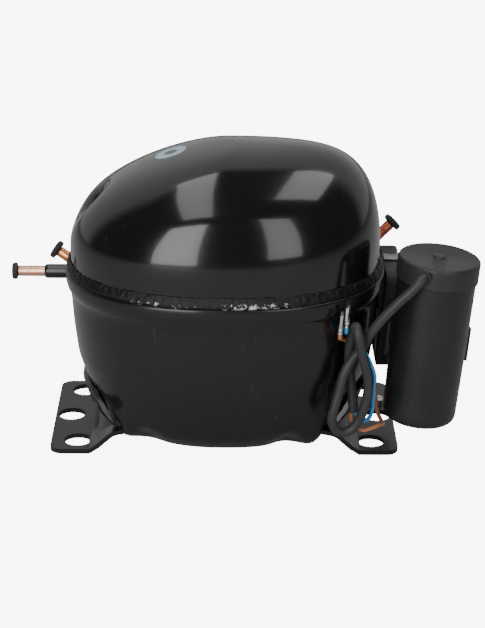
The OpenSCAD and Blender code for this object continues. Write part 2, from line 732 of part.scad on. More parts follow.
module yoke_tube() {
  color([0.55, 0.55, 0.58]) {
    difference() {
      translate([pin_x, 24, cyl_z]) rotate([90, 0, 0]) cylinder(h = 48, r = 11.5, $fn = 64);
      translate([pin_x, 30, cyl_z]) rotate([90, 0, 0]) cylinder(h = 60, r = 9, $fn = 64);
      translate([pin_x - 6.4, -16, cyl_z - 14]) cube([12.8, 32, 28]);
    }
    along_x(pin_x + 10.9, 0, cyl_z) cylinder(h = 22, r = 5.5);
    along_x(pin_x + 28, 0, cyl_z) cylinder(h = 4.98, r = 8.36);
  }
}

module suction_reed() {
  color([0.7, 0.72, 0.75]) difference() {
    union() {
      translate([49.1, 2.3, cyl_z - 9]) cube([0.3, 5, 14]);
      along_x(49.1, 4.8, cyl_z + 5) cylinder(h = 0.3, r = 3.6);
    }
    along_x(48, 4.8, cyl_z - 7) cylinder(h = 3, r = 0.8);
  }
}

module discharge_reed() {
  color([0.7, 0.72, 0.75]) {
    translate([52.6, -7, cyl_z - 9]) cube([0.3, 4, 14]);
    along_x(52.6, -5, cyl_z + 5) cylinder(h = 0.3, r = 2.9);
  }
}

lower_shell();
upper_shell();
seam_weld();
left_foot();
right_foot();
left_saddle();
right_saddle();
tube_sleeves();
suction_tube();
suction_plug();
process_tube();
process_plug();
discharge_tube();
discharge_plug();
terminal_plate();
terminal_glass();
terminal_pins();
terminal_fence();
start_relay();
overload_protector();
terminal_cover();
cover_clip();
earth_screw();
capacitor_bracket();
capacitor_can();
capacitor_cap();
cable_grommet();
capacitor_cable();
blue_wire();
brown_wire();
wire_terminals();
lower_spring_seats();
suspension_springs();
discharge_line();
upper_spring_seats();
stator_core();
lower_windings();
upper_windings();
stator_bolts();
cylinder_block();
front_gasket();
valve_plate();
rear_gasket();
cylinder_head();
head_bolts();
discharge_valve_stop();
suction_muffler();
discharge_muffler();
crankshaft();
counterweight();
rotor_core();
rotor_end_rings();
oil_pickup();
slide_block();
thrust_ring();
piston();
yoke_tube();
suction_reed();
discharge_reed();
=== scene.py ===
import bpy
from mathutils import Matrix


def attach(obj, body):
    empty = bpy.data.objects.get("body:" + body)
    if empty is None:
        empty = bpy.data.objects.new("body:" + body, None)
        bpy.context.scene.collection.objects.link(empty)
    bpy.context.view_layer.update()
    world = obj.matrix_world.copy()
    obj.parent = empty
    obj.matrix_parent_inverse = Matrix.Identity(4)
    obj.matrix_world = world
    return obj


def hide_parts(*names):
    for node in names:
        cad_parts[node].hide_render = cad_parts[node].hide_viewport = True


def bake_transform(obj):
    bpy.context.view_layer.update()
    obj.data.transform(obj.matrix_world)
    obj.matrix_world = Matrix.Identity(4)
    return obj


bl_info = {
    "name": "Hermetic compressor",
    "version": (1, 0, 0),
    "blender": (4, 5, 0),
    "location": "View3D > Sidebar > Compressor",
    "description": "Builds a sealed refrigeration compressor, piece by piece, on its engineering frame",
    "category": "Object",
}

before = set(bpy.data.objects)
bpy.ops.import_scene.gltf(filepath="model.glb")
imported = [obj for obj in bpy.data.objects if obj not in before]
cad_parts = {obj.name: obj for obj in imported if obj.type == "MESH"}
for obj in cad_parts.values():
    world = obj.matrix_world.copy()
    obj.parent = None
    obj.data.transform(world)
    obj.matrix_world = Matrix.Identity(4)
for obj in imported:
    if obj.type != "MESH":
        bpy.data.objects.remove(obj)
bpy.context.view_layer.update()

import math

import bmesh
import bpy
import numpy as np
from bpy.props import FloatProperty, FloatVectorProperty, IntProperty
from mathutils import Matrix, Vector, noise

MM = 0.001
PLAN_POWER = 2.25
MATERIALS = {}


# ---------------------------------------------------------------- sizes and colours


class HousingSettings(bpy.types.PropertyGroup):
    """Sizes and finish of the welded housing."""

    rim_half_length: FloatProperty(
        name="Rim half length", description="From the middle to the end of the flared rim",
        default=0.092, unit="LENGTH")
    rim_half_width: FloatProperty(
        name="Rim half width", description="From the middle to the side of the flared rim",
        default=0.075, unit="LENGTH")
    rim_height: FloatProperty(
        name="Rim height", description="Height of the rim's top edge over the feet",
        default=0.100, unit="LENGTH")
    cover_half_length: FloatProperty(
        name="Cover half length", description="From the middle to the end of the cover",
        default=0.089, unit="LENGTH")
    cover_half_width: FloatProperty(
        name="Cover half width", description="From the middle to the side of the cover",
        default=0.0718, unit="LENGTH")
    dome_height: FloatProperty(
        name="Dome height", description="Height of the cover above its straight wall",
        default=0.0599, unit="LENGTH")
    paint: FloatVectorProperty(
        name="Paint", description="Colour of the black enamel", subtype="COLOR",
        size=3, min=0, max=1, default=(0.0055, 0.0055, 0.006))
    mark: FloatVectorProperty(
        name="Paint ring", description="Colour of the inspection ring on the cover",
        subtype="COLOR", size=3, min=0, max=1, default=(0.50, 0.74, 0.88))


class FeetSettings(bpy.types.PropertyGroup):
    """Sizes of the two mounting feet."""

    outer_x: FloatProperty(
        name="Outer edge", description="From the middle to the feet's outer edge",
        default=0.1005, unit="LENGTH")
    half_width: FloatProperty(
        name="Half width", description="Half of each foot's width",
        default=0.048, unit="LENGTH")
    thickness: FloatProperty(
        name="Sheet thickness", description="Thickness of the pressed sheet",
        default=0.003, unit="LENGTH")
    hole_radius: FloatProperty(
        name="Hole radius", description="Radius of the grommet holes",
        default=0.008, unit="LENGTH")


class CapacitorSettings(bpy.types.PropertyGroup):
    """Sizes and colours of the run capacitor."""

    lean: FloatProperty(
        name="Lean", description="How far the capacitor leans away from the housing",
        default=math.radians(4.6), subtype="ANGLE")
    can_height: FloatProperty(
        name="Can height", description="Length of the can below its cap",
        default=0.086, unit="LENGTH")
    cap_height: FloatProperty(
        name="Cap height", description="Height of the cap", default=0.0126, unit="LENGTH")
    can_colour: FloatVectorProperty(
        name="Can colour", description="Colour of the moulded can", subtype="COLOR",
        size=3, min=0, max=1, default=(0.014, 0.0138, 0.0135))
    cap_colour: FloatVectorProperty(
        name="Cap colour", description="Colour of the resin cap", subtype="COLOR",
        size=3, min=0, max=1, default=(0.030, 0.027, 0.025))


class CableSettings(bpy.types.PropertyGroup):
    """Sizes and colours of the cable and its wires."""

    sheath_diameter: FloatProperty(
        name="Sheath diameter", description="Outside diameter of the cable",
        default=0.0055, unit="LENGTH")
    wire_diameter: FloatProperty(
        name="Wire diameter", description="Outside diameter of each insulated wire",
        default=0.0024, unit="LENGTH")
    blue: FloatVectorProperty(
        name="First wire", description="Colour of the first wire", subtype="COLOR",
        size=3, min=0, max=1, default=(0.05, 0.36, 0.78))
    brown: FloatVectorProperty(
        name="Second wire", description="Colour of the second wire", subtype="COLOR",
        size=3, min=0, max=1, default=(0.50, 0.19, 0.085))


class MotorSettings(bpy.types.PropertyGroup):
    """Sizes of the repeated pieces inside the housing."""

    spring_turns: IntProperty(
        name="Spring turns", description="Turns of each suspension spring",
        default=6, min=2, max=12)
    spring_radius: FloatProperty(
        name="Spring radius", description="Radius to the middle of the spring wire",
        default=0.008, unit="LENGTH")
    coil_count: IntProperty(
        name="Coil loops", description="Wire bundles seen on each end of the stator",
        default=24, min=8, max=48)


class StageSettings(bpy.types.PropertyGroup):
    """Light and floor."""

    floor_tone: FloatVectorProperty(
        name="Floor", description="Colour of the floor", subtype="COLOR",
        size=3, min=0, max=1, default=(0.55, 0.55, 0.55))
    floor_glow: FloatProperty(
        name="Floor glow", description="How bright the floor and backdrop look to the camera",
        default=8.0)
    backdrop: FloatProperty(
        name="Backdrop", description="Light from the sweep behind the object", default=0.42)
    surround: FloatProperty(
        name="Surround", description="Light from the rest of the room", default=0.07)
    box_power: FloatProperty(
        name="Soft box power", description="Scales the four soft boxes together", default=1.0)


# ---------------------------------------------------------------- shape helpers


def signed_power(value, power):
    """Rounds a circle's sine or cosine towards a square, more as power grows past 2."""
    return np.sign(value) * np.abs(value) ** (2.0 / power)


def oval(left, right, width, z, shift=0.0, count=192, power=PLAN_POWER):
    """One level outline of the housing, in millimetres."""
    t = np.linspace(0, 2 * np.pi, count, endpoint=False)
    c, s = np.cos(t), np.sin(t)
    x = np.where(c < 0, left, right) * signed_power(c, power) + shift
    y = width * signed_power(s, power)
    return np.stack([x, y, np.full(count, z)], 1)


def through(points, steps):
    """Points on a smooth curve through the given ones."""
    p = np.array(points, float)
    p = np.vstack([2 * p[0] - p[1], p, 2 * p[-1] - p[-2]])
    out = []
    for i in range(1, len(p) - 2):
        a, b, c, d = p[i - 1], p[i], p[i + 1], p[i + 2]
        for u in np.arange(steps) / steps:
            out.append(0.5 * (2 * b + (c - a) * u + (2 * a - 5 * b + 4 * c - d) * u * u
                              + (3 * b - a - 3 * c + d) * u ** 3))
    out.append(p[-2])
    return np.array(out)


def even(points, count):
    """The same path with its points evenly spaced."""
    p = np.array(points, float)
    run = np.concatenate([[0], np.cumsum(np.linalg.norm(np.diff(p, axis=0), axis=1))])
    at = np.linspace(0, run[-1], count)
    return np.stack([np.interp(at, run, p[:, k]) for k in range(3)], 1)


def mesh_object(name, shape, finish, sharp):
    """A mesh object whose place is in its vertices, given in millimetres."""
    verts, faces = shape
    mesh = bpy.data.meshes.new(name)
    mesh.from_pydata((np.array(verts, float) * MM).tolist(), [], [list(f) for f in faces])
    mesh.update()
    finish_mesh(mesh, sharp)
    mesh.materials.append(MATERIALS[finish])
    obj = bpy.data.objects.new(name, mesh)
    bpy.context.scene.collection.objects.link(obj)
    return obj


def add_piece(name, shape, finish, sharp, replaces, body="housing"):
    """A finished piece that rides on one body."""
    obj = mesh_object(name, shape, finish, sharp)
    settle(obj, body, replaces)
    return obj


def finish_mesh(mesh, sharp):
    """Welds and smooths a mesh, with hard edges past the angle sharp, in degrees."""
    work = bmesh.new()
    work.from_mesh(mesh)
    bmesh.ops.remove_doubles(work, verts=work.verts, dist=1e-7)
    bmesh.ops.dissolve_degenerate(work, dist=1e-8, edges=work.edges)
    bmesh.ops.recalc_face_normals(work, faces=work.faces)
    work.to_mesh(mesh)
    work.free()
    mesh.polygons.foreach_set("use_smooth", [True] * len(mesh.polygons))
    mesh.set_sharp_from_angle(angle=math.radians(sharp))
    mesh.update()


def settle(obj, body, replaces):
    """Parents a piece to the empty of the body that carries it, and hides the frame's parts that it stands in
    for.
    """
    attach(obj, body)
    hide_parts(*replaces)


def bake_modifiers(obj):
    """Turns an object's modifiers into plain mesh."""
    bpy.context.view_layer.update()
    graph = bpy.context.evaluated_depsgraph_get()
    mesh = bpy.data.meshes.new_from_object(
        obj.evaluated_get(graph), preserve_all_data_layers=True, depsgraph=graph)
    old = obj.data
    obj.modifiers.clear()
    obj.data = mesh
    bpy.data.meshes.remove(old)
    return obj


def skin(rings, close_ends=True):
    """Quads between rings of equal count, with a fan at each end."""
    count = len(rings[0])
    verts = [tuple(p) for ring in rings for p in ring]
    faces = []
    for base in range(0, (len(rings) - 1) * count, count):
        for i in range(count):
            j = (i + 1) % count
            faces.append((base + i, base + j, base + count + j, base + count + i))
    if close_ends:
        for k in (0, len(rings) - 1):
            base, hub = k * count, len(verts)
            verts.append(tuple(np.mean(rings[k], axis=0)))
            faces += [(base + i, base + (i + 1) % count, hub) for i in range(count)]
    return verts, faces


def join_parts(parts):
    """Several (verts, faces) as one."""
    verts, faces = [], []
    for v, f in parts:
        base = len(verts)
        verts += [tuple(p) for p in v]
        faces += [tuple(i + base for i in face) for face in f]
    return verts, faces


def turned(profile, steps=96, ripple=None):
    """A lathe form: profile points are (radius, height) in millimetres."""
    rings = []
    angle = np.linspace(0, 2 * np.pi, steps, endpoint=False)
    for k, (r, h) in enumerate(profile):
        radius = np.full(steps, r)
        if ripple is not None:
            radius = radius + ripple(angle, k)
        rings.append(np.stack([radius * np.cos(angle), radius * np.sin(angle),
                               np.full(steps, h)], 1))
    return skin(rings)


def turned_band(profile, steps):
    """A lathe form whose profile closes on itself, so it has no ends."""
    verts, faces = turned(profile, steps)
    verts, faces = verts[:-2], [f for f in faces if len(f) == 4]
    last = len(verts) - steps
    faces += [(last + i, last + (i + 1) % steps, (i + 1) % steps, i) for i in range(steps)]
    return verts, faces


def placed(shape, matrix):
    """The same shape moved by a matrix."""
    verts, faces = shape
    return [tuple(matrix @ Vector(v)) for v in verts], faces


def aimed(point, direction):
    """A frame whose Z runs along direction from point."""
    z = Vector(direction).normalized()
    return Matrix.Translation(Vector(point)) @ z.to_track_quat("Z", "Y").to_matrix().to_4x4()


def swept(points, radius, sides):
    """A round tube along points, closed at both ends."""
    p = np.array(points, float)
    tangents = np.gradient(p, axis=0)
    tangents /= np.linalg.norm(tangents, axis=1)[:, None]
    side = np.cross(tangents[0], [0.31, 0.2, 0.93])
    side /= np.linalg.norm(side)
    rings = []
    angle = np.linspace(0, 2 * np.pi, sides, endpoint=False)
    for middle, along in zip(p, tangents):
        side = side - along * side.dot(along)
        side /= np.linalg.norm(side)
        up = np.cross(along, side)
        rings.append(middle + radius * (np.cos(angle)[:, None] * side + np.sin(angle)[:, None] * up))
    return skin(rings)


def rounded_box(low, high, radius, segments):
    """A box with rounded edges between two corners, in millimetres."""
    work = bmesh.new()
    bmesh.ops.create_cube(work, size=1.0)
    low, high = Vector(low), Vector(high)
    size, middle = high - low, (high + low) / 2
    for v in work.verts:
        v.co = Vector((v.co.x * size.x, v.co.y * size.y, v.co.z * size.z)) + middle
    bmesh.ops.bevel(work, geom=list(work.edges), offset=radius, segments=segments,
                    profile=0.5, affect="EDGES", clamp_overlap=True)
    verts = [tuple(v.co) for v in work.verts]
    faces = [tuple(v.index for v in f.verts) for f in work.faces]
    work.free()
    return verts, faces


# ---------------------------------------------------------------- shader groups


def new_group(name, inputs, outputs):
    """A shader group with named sockets, each input with its default."""
    tree = bpy.data.node_groups.new(name, "ShaderNodeTree")
    for label, kind, value in inputs:
        socket = tree.interface.new_socket(name=label, in_out="INPUT", socket_type=kind)
        if value is not None:
            socket.default_value = value
    for label, kind in outputs:
        tree.interface.new_socket(name=label, in_out="OUTPUT", socket_type=kind)
    source = tree.nodes.new("NodeGroupInput")
    target = tree.nodes.new("NodeGroupOutput")
    return tree, source, target


def node(tree, kind, links=(), **values):
    """A shader node; in_3=x sets its input 3, other names set its own properties."""
    made = tree.nodes.new(kind)
    for key, value in values.items():
        if key.startswith("in_"):
            made.inputs[int(key[3:])].default_value = value
        else:
            setattr(made, key, value)
    for index, socket in links:
        tree.links.new(socket, made.inputs[index])
    return made


def maths(tree, operation, a, b=None, c=None):
    """The output of a math node whose inputs are sockets or numbers."""
    made = tree.nodes.new("ShaderNodeMath")
    made.operation = operation
    for index, value in enumerate((a, b, c)):
        if value is None:
            continue
        if isinstance(value, (int, float)):
            made.inputs[index].default_value = value
        else:
            tree.links.new(value, made.inputs[index])
    return made.outputs[0]


def span(tree, value, low, high, to_low=0.0, to_high=1.0):
    """Maps low to high onto to_low to to_high, held at both ends."""
    made = node(tree, "ShaderNodeMapRange", in_1=low, in_2=high, in_3=to_low, in_4=to_high)
    tree.links.new(value, made.inputs[0])
    return made.outputs[0]


def blend_colour(tree, factor, a, b):
    """A mix of two colours, each a socket or a tuple."""
    made = tree.nodes.new("ShaderNodeMix")
    made.data_type = "RGBA"
    for index, value in ((0, factor), (6, a), (7, b)):
        if isinstance(value, (int, float)):
            made.inputs[index].default_value = value
        elif isinstance(value, (tuple, list)):
            made.inputs[index].default_value = (*value[:3], 1.0)
        else:
            tree.links.new(value, made.inputs[index])
    return made.outputs[2]


def object_point(tree, scale=(1, 1, 1), offset=(0, 0, 0), turn=(0, 0, 0)):
    """The place on the object that a texture reads, scaled, moved or turned."""
    where = tree.nodes.new("ShaderNodeTexCoord")
    if scale == (1, 1, 1) and offset == (0, 0, 0) and turn == (0, 0, 0):
        return where.outputs["Object"]
    mapping = node(tree, "ShaderNodeMapping", [(0, where.outputs["Object"])])
    mapping.inputs["Scale"].default_value = scale
    mapping.inputs["Location"].default_value = offset
    mapping.inputs["Rotation"].default_value = turn
    return mapping.outputs[0]


def build_dust_group():
    """Fine dust and handling marks, stronger on faces that look up."""
    tree, source, target = new_group(
        "dust_and_marks",
        [("Grain", "NodeSocketFloat", 900.0), ("Amount", "NodeSocketFloat", 0.3)],
        [("Dust", "NodeSocketFloat"), ("Marks", "NodeSocketFloat")])
    where = object_point(tree)
    fine = node(tree, "ShaderNodeTexNoise", [(0, where), (2, source.outputs["Grain"])], in_3=6.0, in_4=0.6)
    broad = node(tree, "ShaderNodeTexNoise", [(0, where)], in_2=28.0, in_3=3.0, in_4=0.5)
    specks = span(tree, fine.outputs[0], 0.63, 0.74)
    patches = span(tree, broad.outputs[0], 0.35, 0.7)
    normal = tree.nodes.new("ShaderNodeNewGeometry")
    split = node(tree, "ShaderNodeSeparateXYZ", [(0, normal.outputs["Normal"])])
    up = span(tree, split.outputs[2], -0.1, 0.9, 0.25, 1.0)
    dust = maths(tree, "MULTIPLY", maths(tree, "MULTIPLY", specks, patches), up)
    dust = maths(tree, "MULTIPLY", dust, source.outputs["Amount"])
    streak_at = object_point(tree, scale=(1.0, 1.0, 0.12), turn=(0.3, 0.5, 0.2))
    streaks = node(tree, "ShaderNodeTexNoise", [(0, streak_at)], in_2=420.0, in_3=2.0, in_4=0.5)
    marks = maths(tree, "MULTIPLY", span(tree, streaks.outputs[0], 0.68, 0.75), patches)
    tree.links.new(dust, target.inputs[0])
    tree.links.new(marks, target.inputs[1])
    return tree


def build_peel_group():
    """Orange peel of sprayed enamel."""
    tree, source, target = new_group(
        "orange_peel", [("Size", "NodeSocketFloat", 260.0)],
        [("Height", "NodeSocketFloat"), ("Flow", "NodeSocketFloat")])
    where = object_point(tree)
    peel = node(tree, "ShaderNodeTexNoise", [(0, where), (2, source.outputs["Size"])], in_3=2.0, in_4=0.4)
    flow = node(tree, "ShaderNodeTexNoise", [(0, where)], in_2=17.0, in_3=2.0, in_4=0.5)
    tree.links.new(peel.outputs[0], target.inputs[0])
    tree.links.new(span(tree, flow.outputs[0], 0.3, 0.7), target.inputs[1])
    return tree


def build_grain_group():
    """Fine texture of moulded plastic or cast metal."""
    tree, source, target = new_group(
        "moulded_grain", [("Size", "NodeSocketFloat", 1600.0)],
        [("Height", "NodeSocketFloat"), ("Tone", "NodeSocketFloat")])
    where = object_point(tree)
    grain = node(tree, "ShaderNodeTexNoise", [(0, where), (2, source.outputs["Size"])], in_3=4.0, in_4=0.6)
    cloud = node(tree, "ShaderNodeTexNoise", [(0, where)], in_2=60.0, in_3=4.0, in_4=0.6)
    tree.links.new(grain.outputs[0], target.inputs[0])
    tree.links.new(span(tree, cloud.outputs[0], 0.3, 0.7), target.inputs[1])
    return tree


def build_drawn_group():
    """Fine lines left by drawing or turning, along one axis."""
    tree, source, target = new_group(
        "drawn_lines", [("Size", "NodeSocketFloat", 900.0), ("Stretch", "NodeSocketVector", (1, 1, 0.03))],
        [("Height", "NodeSocketFloat"), ("Tarnish", "NodeSocketFloat")])
    where = tree.nodes.new("ShaderNodeTexCoord")
    long = node(tree, "ShaderNodeVectorMath", [(0, where.outputs["Object"]), (1, source.outputs["Stretch"])],
                operation="MULTIPLY")
    lines = node(tree, "ShaderNodeTexNoise", [(0, long.outputs[0]), (2, source.outputs["Size"])],
                 in_3=3.0, in_4=0.6)
    stain = node(tree, "ShaderNodeTexNoise", [(0, where.outputs["Object"])], in_2=170.0, in_3=5.0, in_4=0.65)
    tree.links.new(lines.outputs[0], target.inputs[0])
    tree.links.new(span(tree, stain.outputs[0], 0.42, 0.68), target.inputs[1])
    return tree


def group_of(name):
    """The shader group of that name, built on first use."""
    makers = {"dust_and_marks": build_dust_group, "orange_peel": build_peel_group,
              "moulded_grain": build_grain_group, "drawn_lines": build_drawn_group}
    return bpy.data.node_groups.get(name) or makers[name]()


def place_group(tree, name, **values):
    """A shader group node with its named inputs set."""
    made = tree.nodes.new("ShaderNodeGroup")
    made.node_tree = group_of(name)
    for label, value in values.items():
        made.inputs[label].default_value = value
    return made


def start_material(name):
    """A new material, its node tree and its surface shader."""
    material = bpy.data.materials.new(name)
    material.use_nodes = True
    tree = material.node_tree
    shader = tree.nodes["Principled BSDF"]
    MATERIALS[name] = material
    return material, tree, shader


def bump(tree, shader, height, strength, distance):
    """Raises the surface by height, over a distance in metres."""
    made = node(tree, "ShaderNodeBump")
    made.inputs["Strength"].default_value = strength
    made.inputs["Distance"].default_value = distance
    tree.links.new(height, made.inputs["Height"])
    tree.links.new(made.outputs[0], shader.inputs["Normal"])


def enamel(name, colour, rough, coat, peel=0.12, dust=0.35, ring=None):
    """Sprayed black enamel with orange peel, dust and handling marks."""
    material, tree, shader = start_material(name)
    marks = place_group(tree, "dust_and_marks", Grain=1100.0, Amount=dust)
    skin_group = place_group(tree, "orange_peel", Size=300.0)
    base = blend_colour(tree, maths(tree, "MULTIPLY", marks.outputs["Dust"], 0.5), colour, (0.32, 0.31, 0.30))
    base = blend_colour(tree, maths(tree, "MULTIPLY", marks.outputs["Marks"], 0.10), base, (0.25, 0.25, 0.25))
    roughness = maths(tree, "MULTIPLY_ADD", skin_group.outputs["Flow"], 0.06, rough)
    roughness = maths(tree, "MULTIPLY_ADD", marks.outputs["Dust"], 0.5, roughness)
    if ring is not None:
        centre, inner, outer, tint = ring
        where = object_point(tree)
        away = node(tree, "ShaderNodeVectorMath", [(0, where)], operation="DISTANCE")
        away.inputs[1].default_value = [c * MM for c in centre]
        ragged = node(tree, "ShaderNodeTexNoise", [(0, where)], in_2=700.0, in_3=3.0, in_4=0.6)
        reach = maths(tree, "MULTIPLY_ADD", ragged.outputs[0], 0.0016, away.outputs["Value"])
        band = maths(tree, "MULTIPLY",
                     span(tree, reach, inner * MM, inner * MM + 0.0009),
                     span(tree, reach, outer * MM, outer * MM + 0.0009, 1.0, 0.0))
        thin = node(tree, "ShaderNodeTexNoise", [(0, where)], in_2=240.0, in_3=4.0, in_4=0.6)
        band = maths(tree, "MULTIPLY", band, span(tree, thin.outputs[0], 0.30, 0.5, 0.55, 1.0))
        base = blend_colour(tree, band, base, tint)
        roughness = maths(tree, "MULTIPLY_ADD", band, 0.35, roughness)
    tree.links.new(base, shader.inputs["Base Color"])
    tree.links.new(roughness, shader.inputs["Roughness"])
    shader.inputs["Coat Weight"].default_value = coat
    shader.inputs["Coat Roughness"].default_value = 0.06
    bump(tree, shader, skin_group.outputs["Height"], peel, 0.0004)
    return material


def chipped_bead(name, colour):
    """Weld bead under enamel, with its bare metal showing in flecks."""
    material, tree, shader = start_material(name)
    where = object_point(tree)
    flecks = node(tree, "ShaderNodeTexNoise", [(0, where)], in_2=330.0, in_3=5.0, in_4=0.72)
    patches = node(tree, "ShaderNodeTexNoise", [(0, object_point(tree, offset=(0.13, 0.02, 0.0)))],
                   in_2=24.0, in_3=2.0, in_4=0.5)
    split = node(tree, "ShaderNodeSeparateXYZ", [(0, where)])
    front = span(tree, split.outputs[1], -0.052, -0.068)
    left_patch = maths(tree, "MULTIPLY", span(tree, split.outputs[0], -0.060, -0.050),
                       span(tree, split.outputs[0], -0.026, -0.014, 1.0, 0.12))
    right_patch = maths(tree, "MULTIPLY", span(tree, split.outputs[0], -0.006, 0.004),
                        span(tree, split.outputs[0], 0.034, 0.046, 1.0, 0.0))
    low_edge = span(tree, split.outputs[2], 0.1046, 0.1022)
    zone = maths(tree, "MULTIPLY", maths(tree, "MULTIPLY", front, low_edge),
                 maths(tree, "MAXIMUM", left_patch, right_patch))
    zone = maths(tree, "MULTIPLY", zone, span(tree, patches.outputs[0], 0.22, 0.38, 0.55, 1.0))
    edge = maths(tree, "MULTIPLY_ADD", zone, -0.19, 0.70)
    bare = node(tree, "ShaderNodeMapRange", [(0, flecks.outputs[0]), (1, edge)], in_2=1.0)
    tree.links.new(maths(tree, "ADD", edge, 0.018), bare.inputs[2])
    mask = bare.outputs[0]
    silver = blend_colour(tree, span(tree, patches.outputs[0], 0.3, 0.7),
                          (0.62, 0.62, 0.61), (0.86, 0.86, 0.85))
    tree.links.new(blend_colour(tree, mask, colour, silver), shader.inputs["Base Color"])
    tree.links.new(span(tree, mask, 0, 1, 0.34, 0.42), shader.inputs["Roughness"])
    tree.links.new(span(tree, mask, 0, 1, 0.0, 0.75), shader.inputs["Metallic"])
    shader.inputs["Specular IOR Level"].default_value = 0.35
    height = maths(tree, "MULTIPLY_ADD", mask, -0.5, flecks.outputs[0])
    bump(tree, shader, height, 0.65, 0.0010)
    return material


def metal(name, colour, rough, tarnish=(0.3, 0.2, 0.15), tarnish_share=0.2, lines=900.0,
          stretch=(1, 1, 0.03), strength=0.15):
    """Bare metal with drawing lines and a little tarnish."""
    material, tree, shader = start_material(name)
    drawn = place_group(tree, "drawn_lines", Size=lines, Stretch=stretch)
    dirt = maths(tree, "MULTIPLY", drawn.outputs["Tarnish"], tarnish_share)
    tree.links.new(blend_colour(tree, dirt, colour, tarnish), shader.inputs["Base Color"])
    tree.links.new(maths(tree, "MULTIPLY_ADD", drawn.outputs["Tarnish"], 0.22, rough),
                   shader.inputs["Roughness"])
    shader.inputs["Metallic"].default_value = 1.0
    bump(tree, shader, drawn.outputs["Height"], strength, 0.0003)
    return material


def plastic(name, colour, rough, grain=1600.0, strength=0.12, coat=0.0, dust=0.3, sheen=0.0):
    """Moulded plastic, rubber or paper with fine grain and dust."""
    material, tree, shader = start_material(name)
    moulded = place_group(tree, "moulded_grain", Size=grain)
    marks = place_group(tree, "dust_and_marks", Grain=1300.0, Amount=dust)
    tone = blend_colour(tree, maths(tree, "MULTIPLY", moulded.outputs["Tone"], 0.35), colour,
                        tuple(min(1.0, c * 1.5 + 0.004) for c in colour))
    tone = blend_colour(tree, maths(tree, "MULTIPLY", marks.outputs["Dust"], 0.6), tone, (0.42, 0.40, 0.38))
    tree.links.new(tone, shader.inputs["Base Color"])
    worn = maths(tree, "MULTIPLY_ADD", moulded.outputs["Tone"], 0.10, rough)
    tree.links.new(maths(tree, "MULTIPLY_ADD", marks.outputs["Marks"], 0.15, worn),
                   shader.inputs["Roughness"])
    shader.inputs["Coat Weight"].default_value = coat
    if sheen:
        shader.inputs["Sheen Weight"].default_value = sheen
        shader.inputs["Sheen Roughness"].default_value = 0.5
    bump(tree, shader, moulded.outputs["Height"], strength, 0.0003)
    return material


def casting(name, colour, rough):
    """Sand-cast iron with a coarse skin."""
    material, tree, shader = start_material(name)
    moulded = place_group(tree, "moulded_grain", Size=520.0)
    tone = blend_colour(tree, moulded.outputs["Tone"], colour, tuple(c * 0.6 for c in colour))
    tree.links.new(tone, shader.inputs["Base Color"])
    tree.links.new(span(tree, moulded.outputs["Tone"], 0, 1, rough, rough + 0.2), shader.inputs["Roughness"])
    shader.inputs["Metallic"].default_value = 0.85
    bump(tree, shader, moulded.outputs["Height"], 0.5, 0.0008)
    return material


def laminated(name, colour):
    """Stacked electrical sheet, with a line at each sheet's edge."""
    material, tree, shader = start_material(name)
    where = object_point(tree)
    split = node(tree, "ShaderNodeSeparateXYZ", [(0, where)])
    layer = maths(tree, "FRACT", maths(tree, "MULTIPLY", split.outputs[2], 2000.0))
    groove = maths(tree, "GREATER_THAN", layer, 0.78)
    stain = node(tree, "ShaderNodeTexNoise", [(0, where)], in_2=90.0, in_3=5.0, in_4=0.6)
    tone = blend_colour(tree, span(tree, stain.outputs[0], 0.4, 0.65), colour, (0.16, 0.15, 0.17))
    tree.links.new(blend_colour(tree, maths(tree, "MULTIPLY", groove, 0.7), tone, (0.03, 0.03, 0.03)),
                   shader.inputs["Base Color"])
    tree.links.new(span(tree, stain.outputs[0], 0.3, 0.7, 0.35, 0.6), shader.inputs["Roughness"])
    shader.inputs["Metallic"].default_value = 0.9
    bump(tree, shader, maths(tree, "MULTIPLY", groove, -1.0), 0.4, 0.0003)
    return material


def bead_glass(name, colour):
    """Clouded glass that seals the terminal pins."""
    material, tree, shader = start_material(name)
    cloud = node(tree, "ShaderNodeTexNoise", [(0, object_point(tree))], in_2=500.0, in_3=3.0, in_4=0.5)
    tree.links.new(blend_colour(tree, cloud.outputs[0], colour, tuple(c * 0.6 for c in colour)),
                   shader.inputs["Base Color"])
    tree.links.new(span(tree, cloud.outputs[0], 0.3, 0.7, 0.05, 0.15), shader.inputs["Roughness"])
    shader.inputs["Transmission Weight"].default_value = 0.4
    return material


